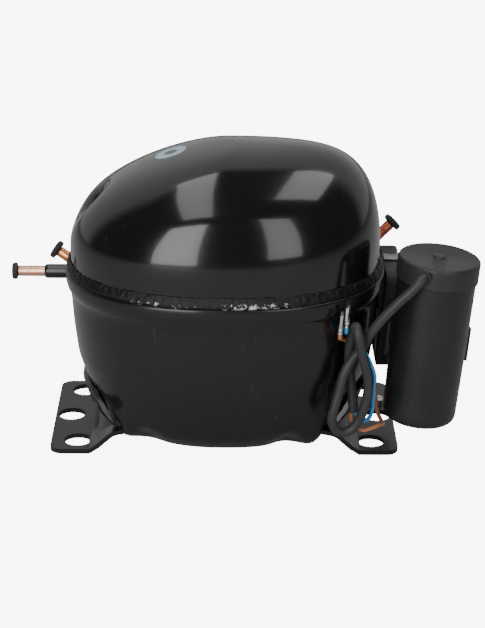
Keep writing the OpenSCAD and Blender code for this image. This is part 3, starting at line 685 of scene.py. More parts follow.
def make_materials():
    house = bpy.context.scene.compressor_housing
    cables = bpy.context.scene.compressor_cables
    can = bpy.context.scene.compressor_capacitor
    black = tuple(house.paint)
    enamel("cover_enamel", black, 0.13, 0.55, peel=0.05, dust=0.30,
           ring=(RING_CENTRE, RING_INNER, RING_OUTER, tuple(house.mark)))
    enamel("body_enamel", black, 0.24, 0.35, peel=0.09, dust=0.40)
    enamel("foot_enamel", black, 0.27, 0.25, peel=0.15, dust=0.45)
    chipped_bead("weld_bead", black)
    metal("bright_copper", (0.93, 0.52, 0.36), 0.20, (0.55, 0.22, 0.12), 0.35, 1200.0)
    metal("dark_copper", (0.44, 0.12, 0.07), 0.30, (0.16, 0.04, 0.03), 0.6, 900.0)
    metal("orange_copper", (0.82, 0.36, 0.16), 0.26, (0.42, 0.13, 0.06), 0.45, 1000.0)
    metal("bare_steel", (0.56, 0.56, 0.57), 0.28, (0.25, 0.22, 0.20), 0.25)
    metal("ground_steel", (0.66, 0.66, 0.67), 0.16, (0.4, 0.38, 0.36), 0.2, 1500.0)
    metal("spring_steel", (0.42, 0.42, 0.44), 0.30, (0.18, 0.17, 0.16), 0.3)
    metal("tin_plate", (0.85, 0.85, 0.83), 0.24, (0.5, 0.49, 0.46), 0.3, 1600.0)
    metal("soft_aluminium", (0.78, 0.78, 0.80), 0.35, (0.5, 0.5, 0.5), 0.3)
    metal("enamelled_wire", (0.62, 0.26, 0.09), 0.28, (0.30, 0.10, 0.03), 0.4, 2600.0, (1, 1, 0.3), 0.6)
    plastic("black_rubber", (0.018, 0.018, 0.018), 0.55, 1800.0, 0.2, dust=0.8, sheen=0.1)
    plastic("box_plastic", (0.030, 0.030, 0.032), 0.42, 2200.0, 0.22, dust=0.5)
    plastic("can_plastic", tuple(can.can_colour), 0.33, 2400.0, 0.06, coat=0.12, dust=0.3)
    plastic("cap_plastic", tuple(can.cap_colour), 0.40, 2000.0, 0.12, coat=0.05, dust=0.5)
    plastic("cable_sheath", (0.040, 0.040, 0.043), 0.40, 1500.0, 0.15, dust=0.4)
    plastic("blue_wire_skin", tuple(cables.blue), 0.32, 2600.0, 0.06, coat=0.2, dust=0.1)
    plastic("brown_wire_skin", tuple(cables.brown), 0.34, 2600.0, 0.06, coat=0.2, dust=0.1)
    plastic("gasket_fibre", (0.22, 0.17, 0.12), 0.80, 900.0, 0.5, dust=0.2)
    plastic("muffler_plastic", (0.74, 0.70, 0.60), 0.45, 1500.0, 0.15, dust=0.3)
    casting("cast_iron", (0.26, 0.26, 0.27), 0.42)
    laminated("laminations", (0.40, 0.41, 0.44))
    bead_glass("bead_glass", (0.10, 0.34, 0.26))
    plain_nodes = {
        "bare_steel": ("terminal_plate", "lower_spring_seats", "upper_spring_seats", "stator_bolts",
                       "head_bolts", "discharge_valve_stop", "discharge_muffler", "counterweight",
                       "oil_pickup"),
        "ground_steel": ("valve_plate", "slide_block", "thrust_ring", "piston", "yoke_tube", "crankshaft"),
        "spring_steel": ("suction_reed", "discharge_reed", "cover_clip"),
        "tin_plate": ("terminal_pins", "earth_screw"),
        "bead_glass": ("terminal_glass",),
        "foot_enamel": ("tube_sleeves", "terminal_fence", "capacitor_bracket"),
        "box_plastic": ("start_relay", "overload_protector", "terminal_cover"),
        "black_rubber": ("cable_grommet",),
        "cast_iron": ("cylinder_block", "cylinder_head"),
        "laminations": ("stator_core", "rotor_core"),
        "soft_aluminium": ("rotor_end_rings",),
        "gasket_fibre": ("front_gasket", "rear_gasket"),
        "muffler_plastic": ("suction_muffler",),
        "enamelled_wire": ("lower_windings", "upper_windings"),
    }
    for finish, names in plain_nodes.items():
        for name in names:
            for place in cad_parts[name].material_slots:
                place.material = MATERIALS[finish]


# ---------------------------------------------------------------- housing

# Each row: half length, half width and height of an outline, and the power of its corners.
LOWER_WALL = [(2, 2, 4, 2.3), (20, 18, 4.3, 2.3), (38, 34, 4.6, 2.3), (50, 47, 5.4, 2.3),
              (58, 54.5, 7.4, 2.3), (63.5, 57.8, 10, 2.35), (69, 61, 14, 2.4), (73, 63, 18, 2.4),
              (75.8, 64.2, 22, 2.4), (78.5, 65.5, 30, 2.35), (81.4, 67, 37, 2.3),
              (84.3, 68.5, 45, PLAN_POWER),
              (86, 69.5, 52, PLAN_POWER), (87.8, 70.8, 67, PLAN_POWER), (88.5, 71.2, 76, PLAN_POWER),
              (89.1, 71.7, 84, PLAN_POWER), (89.9, 72.6, 88, PLAN_POWER), (91.2, 74.1, 91, PLAN_POWER),
              (91.85, 74.85, 93.5, PLAN_POWER), (92, 75, 95, PLAN_POWER), (92, 75, 97, PLAN_POWER)]
LOWER_LINING = [(86.2, 69, 92.6, PLAN_POWER), (86, 68.6, 82, PLAN_POWER), (84.8, 67.8, 67, PLAN_POWER),
                (83, 66.5, 52, PLAN_POWER), (81.3, 65.5, 45, PLAN_POWER), (75.5, 62.5, 30, 2.35),
                (72.6, 61, 21, 2.4), (66, 58, 15.5, 2.4), (62, 54, 13, 2.3), (49, 41.5, 13, 3),
                (40, 34, 9, 3), (2, 2, 8, 3)]
COVER_STEPS = 224
SHELL_STEPS = 256
COVER_SHEET = 3.0
WALL_TOP = 111.8
CROWN_SHIFT = 9.5
LOBE, LOBE_DEPTH, LOBE_WIDTH = (52.5, 46, 12), 7.0, 7.0
NOTCH, NOTCH_DEPTH, NOTCH_WIDTH = (40.5, 52, 11), 3.4, 5.5
PRESS_MIDDLE_X = -4.5
DENT, DENT_DEPTH, DENT_WIDTH = (-77.5, 2, 135.5), 11.0, 7.0
RING_CENTRE, RING_INNER, RING_OUTER = (-31.5, 7.6, 164.2), 4.3, 9.6


def bell(points, centre, width):
    """How near each point is to a centre: 1 on it, falling off over width."""
    return np.exp(-((points - np.array(centre)) ** 2).sum(1) / (2 * width * width))


def with_notches(points):
    """Presses the spring pockets out of the bottom edge, with a notch beside each."""
    mirrored = np.stack([np.abs(points[:, 0] - PRESS_MIDDLE_X), np.abs(points[:, 1]), points[:, 2]], 1)
    out = LOBE_DEPTH * bell(mirrored, LOBE, LOBE_WIDTH)
    up = NOTCH_DEPTH * bell(mirrored, NOTCH, NOTCH_WIDTH)
    return points + np.stack([np.sign(points[:, 0] - PRESS_MIDDLE_X) * 0.35 * out,
                              np.sign(points[:, 1]) * (0.45 * out - 0.55 * up),
                              0.75 * up - 0.55 * out], 1)


def with_dent(points):
    """Scoops the hollow in the cover's left end."""
    depth = DENT_DEPTH * bell(points, DENT, DENT_WIDTH)
    return points + np.stack([depth, 0 * depth, -0.3 * depth], 1)


def wall_x(y, z, off):
    """How far out the lower shell's end wall, moved out by off, stands at one place."""
    heights = [p[2] for p in LOWER_WALL]
    length, width, power = (np.interp(z, heights, [p[i] for p in LOWER_WALL]) for i in (0, 1, 3))
    rest = max(0.02, 1 - (abs(y) / (width + off)) ** power)
    return (length + off) * rest ** (1 / power)


def cover_ring(theta, inset, house):
    """One outline of the dome at the angle theta up from its wall, moved in by inset."""
    c, s = max(math.cos(theta), 0.004), math.sin(theta)
    half_length, half_width = house.cover_half_length / MM, house.cover_half_width / MM
    dome = house.dome_height / MM
    return oval(half_length * c ** 1.46 - inset * math.cos(theta),
                half_length * c ** 0.437 - inset * math.cos(theta),
                half_width * c ** 0.93 - inset * math.cos(theta),
                WALL_TOP + (dome - inset) * s ** 0.844, CROWN_SHIFT * (1 - c ** 0.437), COVER_STEPS)


class COMPRESSOR_OT_cover(bpy.types.Operator):
    """Builds the domed cover"""

    bl_idname = "compressor.cover"
    bl_label = "Cover"

    def execute(self, context):
        house = context.scene.compressor_housing
        a, b = house.cover_half_length / MM, house.cover_half_width / MM
        steps = np.radians(np.concatenate([np.linspace(0, 80, 54), np.linspace(81.5, 89.6, 9)]))
        rings = [with_dent(cover_ring(t, COVER_SHEET, house)) for t in steps[::-1]]
        rings += [oval(a + out, a + out, b + out, z, 0, COVER_STEPS) for out, z in
                  ((-COVER_SHEET, 93), (-0.6, 93), (0, 93.6), (0, 99), (0, 104), (0, 108))]
        rings += [with_dent(cover_ring(t, 0.0, house)) for t in steps]
        add_piece("cover_shell", skin(rings), "cover_enamel", 50, ["upper_shell"])
        return {"FINISHED"}


class COMPRESSOR_OT_lower_shell(bpy.types.Operator):
    """Builds the lower shell with its flared rim and spring pockets"""

    bl_idname = "compressor.lower_shell"
    bl_label = "Lower shell"

    def execute(self, context):
        house = context.scene.compressor_housing
        a, b, top = house.rim_half_length / MM, house.rim_half_width / MM, house.rim_height / MM
        rings = [with_notches(oval(p[0], p[0], p[1], p[2], 0, SHELL_STEPS, p[3]))
                 for p in through(LOWER_WALL, 5)]
        for step, z in ((0, top - 0.9), (-0.25, top - 0.3), (-0.8, top)):
            rings.append(oval(a + step, a + step, b + step, z, 0, SHELL_STEPS))
        for x, y, z in ((89.7, 72.5, 100), (89.5, 72.3, 99.4), (89.4, 72.2, 92.7)):
            rings.append(oval(x, x, y, z, 0, SHELL_STEPS))
        for p in LOWER_LINING:
            ring = oval(p[0], p[0], p[1], p[2], 0, SHELL_STEPS, p[3])
            rings.append(with_notches(ring) if p[0] > 64 else ring)
        add_piece("lower_housing", skin(rings), "body_enamel", 45, ["lower_shell"])
        return {"FINISHED"}


class COMPRESSOR_OT_weld(bpy.types.Operator):
    """Builds the weld bead between the cover and the rim"""

    bl_idname = "compressor.weld"
    bl_label = "Weld bead"

    def execute(self, context):
        house = context.scene.compressor_housing
        a, b, z = house.cover_half_length / MM, house.cover_half_width / MM, house.rim_height / MM
        section = [(0.3, 0.06), (2.2, 0.06), (2.5, 0.5), (2.45, 1.5), (2.1, 2.5), (1.6, 3.6),
                   (1.0, 4.8), (0.5, 5.7), (0.32, 6.1)]
        count = 900
        rings = []
        for out, up in section:
            ring = oval(a + out, a + out, b + out, z + up, 0, count)
            if up > 0.3:
                for i, p in enumerate(ring):
                    n = noise.fractal(Vector(p) * 0.42, 0.7, 2.1, 4) * 0.42
                    n += noise.noise(Vector(p) * 0.12) * 0.3
                    lift = min(0.32, max(-0.5, n))
                    away = np.array([p[0], p[1], 0]) / np.hypot(p[0], p[1])
                    limit = 0.45 if out < 2.0 else 0.0
                    highest = 0.0 if up > 5.5 else 0.3
                    ring[i] = p + away * min(lift, limit) + [0, 0, min(lift, highest) * 0.8]
            rings.append(ring)
        rings.append(rings[0])
        add_piece("seam_bead", skin(rings, close_ends=False), "weld_bead", 60, ["seam_weld"])
        return {"FINISHED"}


GROMMET_HOLES = ((85, -35), (85, 35), (91, 0))


class COMPRESSOR_OT_feet(bpy.types.Operator):
    """Builds the two pressed feet"""

    bl_idname = "compressor.feet"
    bl_label = "Feet"

    def section(self, y):
        """Middle line of the web between pad and housing, at one place across the foot."""
        shelf = max(wall_x(y, 14, 2.4), 63.5)
        height = 15.0 + 18.6 * min(1.0, max(0.0, (41.0 - abs(y)) / 7.0))
        rise = height - 14.2
        low, high = 14.2 + 0.2 * rise, 14.2 + 0.5 * rise
        points = [(78.4, 1.5), (77.4, 1.6), (76.4, 2.2), (0.7 * 76.4 + 0.3 * shelf, 4.8),
                  (0.35 * 76.4 + 0.65 * shelf, 9.0), (shelf, 12.4),
                  (min(shelf, wall_x(y, 14.5, 2.3)) * 0.5 + wall_x(y, 15.5, 2.2) * 0.5, 14.2),
                  (wall_x(y, low, 2.1), low), (wall_x(y, high, 2.1), high),
                  (wall_x(y, height, 2.0), height)]
        return [(x, y, z) for x, z in points]

    def web(self, side, feet):
        """Bent sheet that rises from the pad to the housing."""
        half = feet.half_width / MM
        rows = []
        for y in np.linspace(-half + 0.6, half - 0.6, 61):
            rows.append(np.array(through(self.section(y), 4)) * [side, 1, 1])
        count = len(rows[0])
        faces = [(k, k + 1, k + count + 1, k + count)
                 for j in range(len(rows) - 1) for k in range(j * count, (j + 1) * count - 1)]
        mesh = bpy.data.meshes.new("web")
        mesh.from_pydata([[c * MM for c in p] for r in rows for p in r], [], faces)
        obj = bpy.data.objects.new("web", mesh)
        bpy.context.scene.collection.objects.link(obj)
        sheet = obj.modifiers.new("sheet", "SOLIDIFY")
        sheet.thickness = feet.thickness * 0.92
        sheet.offset = 0.0
        return bake_modifiers(obj)

    def pad(self, side, feet):
        """Flat pad with its three grommet holes."""
        half, outer, t, corner = feet.half_width / MM, feet.outer_x / MM, feet.thickness / MM, 7.0
        outline = [(77.2, -half)]
        for u in np.linspace(0, math.pi / 2, 12):
            outline.append((outer - corner + corner * math.sin(u), -half + corner - corner * math.cos(u)))
        outline += [(x, -y) for x, y in reversed(outline)]
        loops = [outline]
        hole = feet.hole_radius / MM
        for x, y in GROMMET_HOLES:
            loops.append([(x + hole * math.cos(u), y + hole * math.sin(u))
                          for u in np.linspace(0, 2 * math.pi, 56, endpoint=False)])
        work = bmesh.new()
        edges = []
        for loop in loops:
            ring = [work.verts.new((side * x * MM, y * MM, 0.02 * MM)) for x, y in loop]
            edges += [work.edges.new((ring[i], ring[(i + 1) % len(ring)])) for i in range(len(ring))]
        flat = bmesh.ops.triangle_fill(work, use_beauty=True, edges=edges)["geom"]
        sheet = [g for g in flat if isinstance(g, bmesh.types.BMFace)]
        raised = bmesh.ops.extrude_face_region(work, geom=sheet)["geom"]
        bmesh.ops.translate(work, vec=(0, 0, (t - 0.04) * MM),
                            verts=[g for g in raised if isinstance(g, bmesh.types.BMVert)])
        bmesh.ops.recalc_face_normals(work, faces=work.faces)
        rims = [e for e in work.edges if len(e.link_faces) == 2 and e.calc_face_angle() > math.radians(50)
                and abs(e.verts[0].co.z - e.verts[1].co.z) < 1e-6]
        bmesh.ops.bevel(work, geom=rims, offset=0.5 * MM, segments=2, profile=0.5, affect="EDGES",
                        clamp_overlap=True)
        mesh = bpy.data.meshes.new("pad")
        work.to_mesh(mesh)
        work.free()
        return mesh

    def execute(self, context):
        feet = context.scene.compressor_feet
        for side, label in ((-1, "left"), (1, "right")):
            web = self.web(side, feet)
            parts = []
            for mesh in (self.pad(side, feet), web.data):
                parts.append(([tuple(v.co / MM) for v in mesh.vertices],
                              [tuple(f.vertices) for f in mesh.polygons]))
            bpy.data.objects.remove(web)
            add_piece(label + "_foot_sheet", join_parts(parts), "foot_enamel", 40,
                      [label + "_foot", label + "_saddle"])
        return {"FINISHED"}


# ---------------------------------------------------------------- tubes

# Each tube: root, direction, free length, length of its sleeve, plug radius and finish.
TUBES = {
    "suction": ((-80, 24, 85), (-1, 0, 0), 46.5 - 4, 27, 5.0, "bright_copper"),
    "process": ((-72.3, 37.6, 73), (-0.832, 0.21, 0.514), 33, 20, 5.7, "orange_copper"),
    "discharge": ((63.7, 46, 71.4), (0.724, 0.26, 0.638), 50, 22, 5.7, "dark_copper"),
}
TUBE_STEPS = 48
PLUG_TEETH = 16


def plug_ripple(angle, k):
    """Grip teeth on the middle rings of a plug's head."""
    return 0.16 * np.cos(PLUG_TEETH * angle) if 2 <= k <= 6 else 0 * angle


class COMPRESSOR_OT_tubes(bpy.types.Operator):
    """Builds the three copper tubes with their sleeves and plugs"""

    bl_idname = "compressor.tubes"
    bl_label = "Tubes and plugs"

    def execute(self, context):
        sleeves = []
        for label, (root, way, run, cuff, flange, finish) in TUBES.items():
            place = aimed(root, way)
            tube = turned_band([(2.4, -3.9), (3.13, -3.9), (3.14, run - 0.6), (3.0, run - 0.1), (2.8, run),
                                (2.5, run), (2.4, run - 0.3), (2.4, -3.8)], TUBE_STEPS)
            add_piece(label + "_pipe", placed(tube, place), finish, 40, [label + "_tube"])
            base = run + 0.35
            head = turned([(0, base), (flange - 1.1, base), (flange - 0.35, base + 0.25),
                           (flange - 0.18, base + 0.8), (flange - 0.18, base + 2.3),
                           (flange - 0.35, base + 2.9), (flange - 0.9, base + 3.25),
                           (flange - 1.5, base + 3.38), (flange * 0.55, base + 3.2),
                           (flange * 0.42, base + 2.7), (0, base + 2.6)], 96, plug_ripple)
            stem = turned([(0, base - 6), (1.6, base - 6), (2.0, base - 5.2), (2.02, base + 0.4),
                           (0, base + 0.4)], 32)
            add_piece(label + "_cap", placed(join_parts([head, stem]), place),
                      "black_rubber", 35, [label + "_plug"])
            length = cuff - 0.1
            sleeve = turned_band([(3.2, 0.4), (4.25, 0.4), (4.28, length - 2.2), (4.1, length - 0.9),
                                  (3.7, length - 0.2), (3.24, length), (3.2, length - 0.2)], TUBE_STEPS)
            sleeves.append(placed(sleeve, place))
        add_piece("pipe_sleeves", join_parts(sleeves), "body_enamel", 40, ["tube_sleeves"])
        return {"FINISHED"}


# ---------------------------------------------------------------- capacitor

CAPACITOR_BASE = (112, -36, 19.5)
CAPACITOR_STEPS = 128


def capacitor_frame(context):
    """Where the leaning capacitor stands, its base at the origin."""
    can = context.scene.compressor_capacitor
    return Matrix.Translation(CAPACITOR_BASE) @ Matrix.Rotation(can.lean, 4, "Y")


class COMPRESSOR_OT_capacitor(bpy.types.Operator):
    """Builds the leaning run capacitor"""

    bl_idname = "compressor.capacitor"
    bl_label = "Capacitor"

    def execute(self, context):
        can = context.scene.compressor_capacitor
        place = capacitor_frame(context)
        h, cap = can.can_height / MM, can.cap_height / MM
        bottom = [(16.4 + 4.55 * math.sin(u), 4.6 - 4.6 * math.cos(u))
                  for u in np.linspace(0, math.pi / 2, 10)]
        wall = [(21 + 1.28 * u, 4.6 + (h - 4.6) * u) for u in np.linspace(0.02, 1, 14)]
        neck = [(21.2, h), (21.2, h + 1.9), (0, h + 1.9)]
        body = turned([(0, 0.6), (13.8, 0.6), (14.3, 0.05)] + bottom + wall + neck, CAPACITOR_STEPS)
        add_piece("capacitor_body", placed(body, place), "can_plastic", 40,
                  ["capacitor_can"])
        edge = [(23.28 - 1.7 + 1.7 * math.cos(u), cap - 1.7 + 1.7 * math.sin(u))
                for u in np.linspace(0, math.pi / 2, 8)]
        profile = [(21.3, 2.1), (21.3, 0.15), (22.9, 0.08), (23.2, 0.4)] + edge
        profile += [(20.6, cap), (20.2, cap - 0.28), (7.0, cap - 0.28), (6.4, cap - 0.5), (5.9, cap - 0.9),
                    (4.2, cap - 0.9), (3.8, cap - 0.5), (3.5, cap + 0.45), (3.1, cap + 0.75), (0, cap + 0.78),
                    (0, 2.1)]
        lid = turned(profile, CAPACITOR_STEPS)
        verts = [(x, y, z + h) for x, y, z in lid[0]]
        for i, (x, y, z) in enumerate(verts):
            r = math.hypot(x, y)
            if 3.7 < r < 6.0 and z > h + cap - 1.2 and y < 0.4 * r:
                verts[i] = (x, y, h + cap - 0.28)
        add_piece("capacitor_lid", placed((verts, lid[1]), place), "cap_plastic", 40,
                  ["capacitor_cap"])
        return {"FINISHED"}


# ---------------------------------------------------------------- cables

CABLE = [(110.46, -55.53, 113.53), (108.78, -59.7, 113.66), (106, -62.3, 111.6), (101, -62.5, 106),
         (94.5, -62.5, 99.5), (87.3, -62, 91), (80.8, -60.3, 81), (76.8, -58.6, 72), (71.5, -58.5, 65),
         (67, -60, 57), (64.5, -61, 47), (62, -62, 37), (60.5, -62, 30), (62.3, -61, 23.5),
         (67, -59.5, 20), (72, -58.5, 21.5), (75.5, -58.5, 26.5), (78, -59.5, 33), (80, -60.5, 42),
         (80.3, -62, 52), (78.5, -64, 62), (76, -66, 71), (74.5, -67.5, 79), (73.2, -66.5, 84.5),
         (72.3, -62.5, 86), (71.8, -58.3, 82.5), (70.5, -55, 75), (69.8, -53, 64), (71, -52.5, 50),
         (72.5, -52, 38), (73.5, -52, 30)]
BLUE = [(75, -52, 29.9), (75.8, -51.6, 26), (78.5, -51, 23.3), (81.8, -51.3, 24.5), (83.7, -52.5, 30),
        (84, -54.5, 38.5), (83.8, -57, 46.7), (84, -59, 54.7), (81.7, -59.6, 62), (79, -55.5, 66.5),
        (75.3, -51.5, 70.5), (72, -50.8, 74.5), (69.1, -51.6, 77.8), (67.6, -54.5, 79.6),
        (67.3, -58.6, 80.9), (67.4, -60.4, 82.4), (67.4, -60.5, 84.5)]
LINE = [(34, -41.6, 131), (35, -46, 128), (44, -50, 118), (56, -48, 108), (66, -38, 98), (71, -20, 90),
        (71.5, 4, 84), (68, 22, 76), (61.5, 34, 67.5), (57, 40.5, 65.2), (58.4, 44.1, 66.7),
        (60.6, 44.9, 68.66)]
BROWN = [(72.1, -52, 29.1), (72.2, -51.4, 25), (74.3, -51.3, 20.3), (79.3, -54, 18.8),
         (84, -52.5, 19.5), (88.5, -49.5, 20), (91, -44.5, 18.2), (90.5, -38, 17.6), (88.5, -32.5, 21),
         (87, -33.5, 32), (86, -38, 42), (83.5, -43, 52), (80, -47, 60), (76, -48.6, 65.3),
         (72, -49.2, 69.5), (69.1, -50.22, 71.89), (66.68, -52.4, 74.05), (64.2, -56, 76.5),
         (63.8, -60.2, 78), (63.8, -62.2, 79.6), (63.8, -62.4, 81.5)]
# Each receptacle: name, foot of its barrel and its turns about X, Y and Z in degrees.
RECEPTACLES = (("first_receptacle", (67.4, -60.5, 84.7), (2, 3, 75)),
               ("second_receptacle", (63.8, -62.4, 81.7), (4, -2, 82)))


def receptacle():
    """A crimped flag receptacle standing on its barrel, in millimetres."""
    barrel = [(1.25, 0), (1.55, 0), (1.6, 0.3), (1.38, 0.9), (1.38, 1.6), (1.6, 2.1), (1.6, 2.7),
              (1.34, 3.2), (1.34, 3.8), (1.58, 4.5), (1.25, 4.5)]
    parts = [turned(barrel, 24), rounded_box((-2.95, -0.8, 4.4), (2.95, -0.35, 12.3), 0.12, 2)]
    for side in (-1, 1):
        curl = []
        for u in np.linspace(-math.pi / 2, math.pi * 0.95, 12):
            curl.append((side * (2.35 + 0.85 * math.cos(u)), 0.1 + 0.85 * math.sin(u)))
        rings = []
        for z in (4.6, 4.9, 12.0, 12.3):
            outer = [(x, y, z) for x, y in curl]
            inner = [(x + (side * 2.35 - x) * 0.42, y + (0.1 - y) * 0.42, z) for x, y in curl[::-1]]
            rings.append(np.array(outer + inner))
        parts.append(skin(rings))
    return join_parts(parts)


class COMPRESSOR_OT_cables(bpy.types.Operator):
    """Builds the capacitor's cable, its two wires and their receptacles"""

    bl_idname = "compressor.cables"
    bl_label = "Cables"

    def tube(self, name, points, count, diameter, sides, finish, slot, node_name):
        """A cord piece along given points, and the path that it follows."""
        path = even(through(points, 12), count)
        shape = swept(path, diameter / MM / 2, sides)
        return add_piece(name, shape, finish, 50, [node_name]), path

    def execute(self, context):
        cables = context.scene.compressor_cables
        sheath, sheath_path = self.tube("cable_sheath_run", CABLE, 420, cables.sheath_diameter, 24,
                                        "cable_sheath", "cable_pvc", "capacitor_cable")
        blue, blue_path = self.tube("blue_lead", BLUE, 150, cables.wire_diameter, 16,
                                    "blue_wire_skin", "blue_pvc", "blue_wire")
        brown, brown_path = self.tube("brown_lead", BROWN, 190, cables.wire_diameter, 16,
                                      "brown_wire_skin", "brown_pvc", "brown_wire")
        for name, point, tilt in RECEPTACLES:
            about_x, about_y, about_z = (Matrix.Rotation(math.radians(angle), 4, axis)
                                         for angle, axis in zip(tilt, "XYZ"))
            place = Matrix.Translation(point) @ (about_z @ about_y @ about_x)
            add_piece(name, placed(receptacle(), place), "tin_plate", 35,
                                  ["wire_terminals"])
        return {"FINISHED"}


# ---------------------------------------------------------------- motor and suspension


def shape_group(name, sockets):
    """A geometry node tree with its named inputs and one geometry output."""
    tree = bpy.data.node_groups.new(name, "GeometryNodeTree")
    tree.is_modifier = True
    tree.interface.new_socket("Geometry", in_out="INPUT", socket_type="NodeSocketGeometry")
    for label, kind in sockets:
        tree.interface.new_socket(label, in_out="INPUT", socket_type=kind)
    tree.interface.new_socket("Geometry", in_out="OUTPUT", socket_type="NodeSocketGeometry")
    return tree, tree.nodes.new("NodeGroupInput"), tree.nodes.new("NodeGroupOutput")


def linked(tree, kind, links=(), **values):
    """A geometry node whose inputs are given by name, as links or as values."""
    made = tree.nodes.new(kind)
    for label, value in values.items():
        setattr(made, label, value)
    for label, source in links:
        if isinstance(source, bpy.types.NodeSocket):
            tree.links.new(source, made.inputs[label])
        else:
            made.inputs[label].default_value = source
    return made


def wire_from(tree, curve, wire):
    """A round wire of that radius along a curve."""
    profile = linked(tree, "GeometryNodeCurvePrimitiveCircle", [("Resolution", 10), ("Radius", wire)])
    return linked(tree, "GeometryNodeCurveToMesh", [
        ("Curve", curve), ("Profile Curve", profile.outputs["Curve"]), ("Fill Caps", True)])


def close_group(tree, instances, raise_by, finish, end):
    """Realizes the instances, lifts them and gives them their material."""
    solid = linked(tree, "GeometryNodeRealizeInstances", [("Geometry", instances)])
    lift = linked(tree, "ShaderNodeCombineXYZ", [("Z", raise_by)])
    moved = linked(tree, "GeometryNodeSetPosition", [
        ("Geometry", solid.outputs["Geometry"]), ("Offset", lift.outputs["Vector"])])
    coated = linked(tree, "GeometryNodeSetMaterial", [
        ("Geometry", moved.outputs["Geometry"]), ("Material", finish)])
    tree.links.new(coated.outputs["Geometry"], end.inputs["Geometry"])


def build_springs_group():
    """Four suspension springs at the corners of a rectangle."""
    tree, start, end = shape_group("spring_set", [
        ("Turns", "NodeSocketFloat"), ("Radius", "NodeSocketFloat"), ("Height", "NodeSocketFloat"),
        ("Wire", "NodeSocketFloat"), ("Spread X", "NodeSocketFloat"), ("Spread Y", "NodeSocketFloat"),
        ("Lift", "NodeSocketFloat"), ("Finish", "NodeSocketMaterial")])
    get = start.outputs
    spiral = linked(tree, "GeometryNodeCurveSpiral", [
        ("Resolution", 28), ("Rotations", get["Turns"]), ("Start Radius", get["Radius"]),
        ("End Radius", get["Radius"]), ("Height", get["Height"])])
    wire = wire_from(tree, spiral.outputs["Curve"], get["Wire"])
    places = linked(tree, "GeometryNodeMeshGrid", [
        ("Size X", get["Spread X"]), ("Size Y", get["Spread Y"]), ("Vertices X", 2), ("Vertices Y", 2)])
    copies = linked(tree, "GeometryNodeInstanceOnPoints", [
        ("Points", places.outputs["Mesh"]), ("Instance", wire.outputs["Mesh"])])
    close_group(tree, copies.outputs["Instances"], get["Lift"], get["Finish"], end)
    return tree


def build_loops_group():
    """Wire loops side by side around a ring."""
    tree, start, end = shape_group("coil_loops", [
        ("Loops", "NodeSocketInt"), ("Ring Radius", "NodeSocketFloat"), ("Loop Radius", "NodeSocketFloat"),
        ("Wire", "NodeSocketFloat"), ("Lift", "NodeSocketFloat"), ("Finish", "NodeSocketMaterial")])
    get = start.outputs
    around = linked(tree, "GeometryNodeCurvePrimitiveCircle", [
        ("Resolution", 96), ("Radius", get["Ring Radius"])])
    places = linked(tree, "GeometryNodeCurveToPoints", [
        ("Curve", around.outputs["Curve"]), ("Count", get["Loops"])], mode="COUNT")
    loop = linked(tree, "GeometryNodeCurvePrimitiveCircle", [
        ("Resolution", 20), ("Radius", get["Loop Radius"])])
    wire = wire_from(tree, loop.outputs["Curve"], get["Wire"])
    copies = linked(tree, "GeometryNodeInstanceOnPoints", [
        ("Points", places.outputs["Points"]), ("Instance", wire.outputs["Mesh"]),
        ("Rotation", places.outputs["Rotation"])])
    close_group(tree, copies.outputs["Instances"], get["Lift"], get["Finish"], end)
    return tree


def grown(name, tree, **inputs):
    """An object made by a geometry node tree, turned into plain mesh."""
    obj = bpy.data.objects.new(name, bpy.data.meshes.new(name))
    bpy.context.scene.collection.objects.link(obj)
    modifier = obj.modifiers.new(tree.name, "NODES")
    modifier.node_group = tree
    names = {item.name: item.identifier for item in tree.interface.items_tree if item.in_out == "INPUT"}
    for label, value in inputs.items():
        modifier[names[label.replace("_", " ")]] = value
    obj.update_tag()
    bake_modifiers(obj)
    finish_mesh(obj.data, 50)
    return obj


WINDING_SECTION = [(33.6, 0.6), (35.2, 0.1), (40.8, 0.1), (43.0, 2.5), (43.3, 6), (42.6, 9.6),
                   (40.2, 12.4), (36.8, 12.4), (34.2, 9.8)]


class COMPRESSOR_OT_motor(bpy.types.Operator):
    """Builds the suspension springs, the winding heads and the inner discharge line"""

    bl_idname = "compressor.motor"
    bl_label = "Motor and suspension"

    def execute(self, context):
        motor = context.scene.compressor_motor
        springs = grown("spring_coils", build_springs_group(), Turns=float(motor.spring_turns),
                        Radius=motor.spring_radius, Height=0.0277, Wire=0.001, Spread_X=0.084, Spread_Y=0.068,
                        Lift=0.0175, Finish=MATERIALS["spring_steel"])
        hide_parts("suspension_springs")
        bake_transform(springs)
        pipe = mesh_object("inner_discharge_line", swept(even(through(LINE, 12), 260), 2.2, 20),
                           "orange_copper", 50)
        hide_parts("discharge_line")
        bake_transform(pipe)
        loops = build_loops_group()
        for label, base, side in (("lower", 47.95, -1), ("upper", 93.05, 1)):
            core = turned_band([(r, base + side * h) for r, h in WINDING_SECTION], 160)
            add_piece(label + "_winding_core", core, "enamelled_wire", 50,
                      [label + "_windings"], "pump_unit")
            coils = grown(label + "_winding_loops", loops, Loops=motor.coil_count * 4, Ring_Radius=0.0386,
                          Loop_Radius=0.0049, Wire=0.0009, Lift=(base + side * 7.0) * MM,
                          Finish=MATERIALS["enamelled_wire"])
            settle(coils, "pump_unit", [label + "_windings"])
        return {"FINISHED"}


# ---------------------------------------------------------------- terminal box


def rounded_plate(width, height, radius, count=12):
    """Corner points of a rounded rectangle, (across, up) from its middle."""
    points = []
    for k, (sx, sy) in enumerate(((1, 1), (-1, 1), (-1, -1), (1, -1))):
        for u in np.linspace(k * math.pi / 2, (k + 1) * math.pi / 2, count):
            points.append((sx * (width / 2 - radius) + radius * math.cos(u),
                           sy * (height / 2 - radius) + radius * math.sin(u)))
    return points


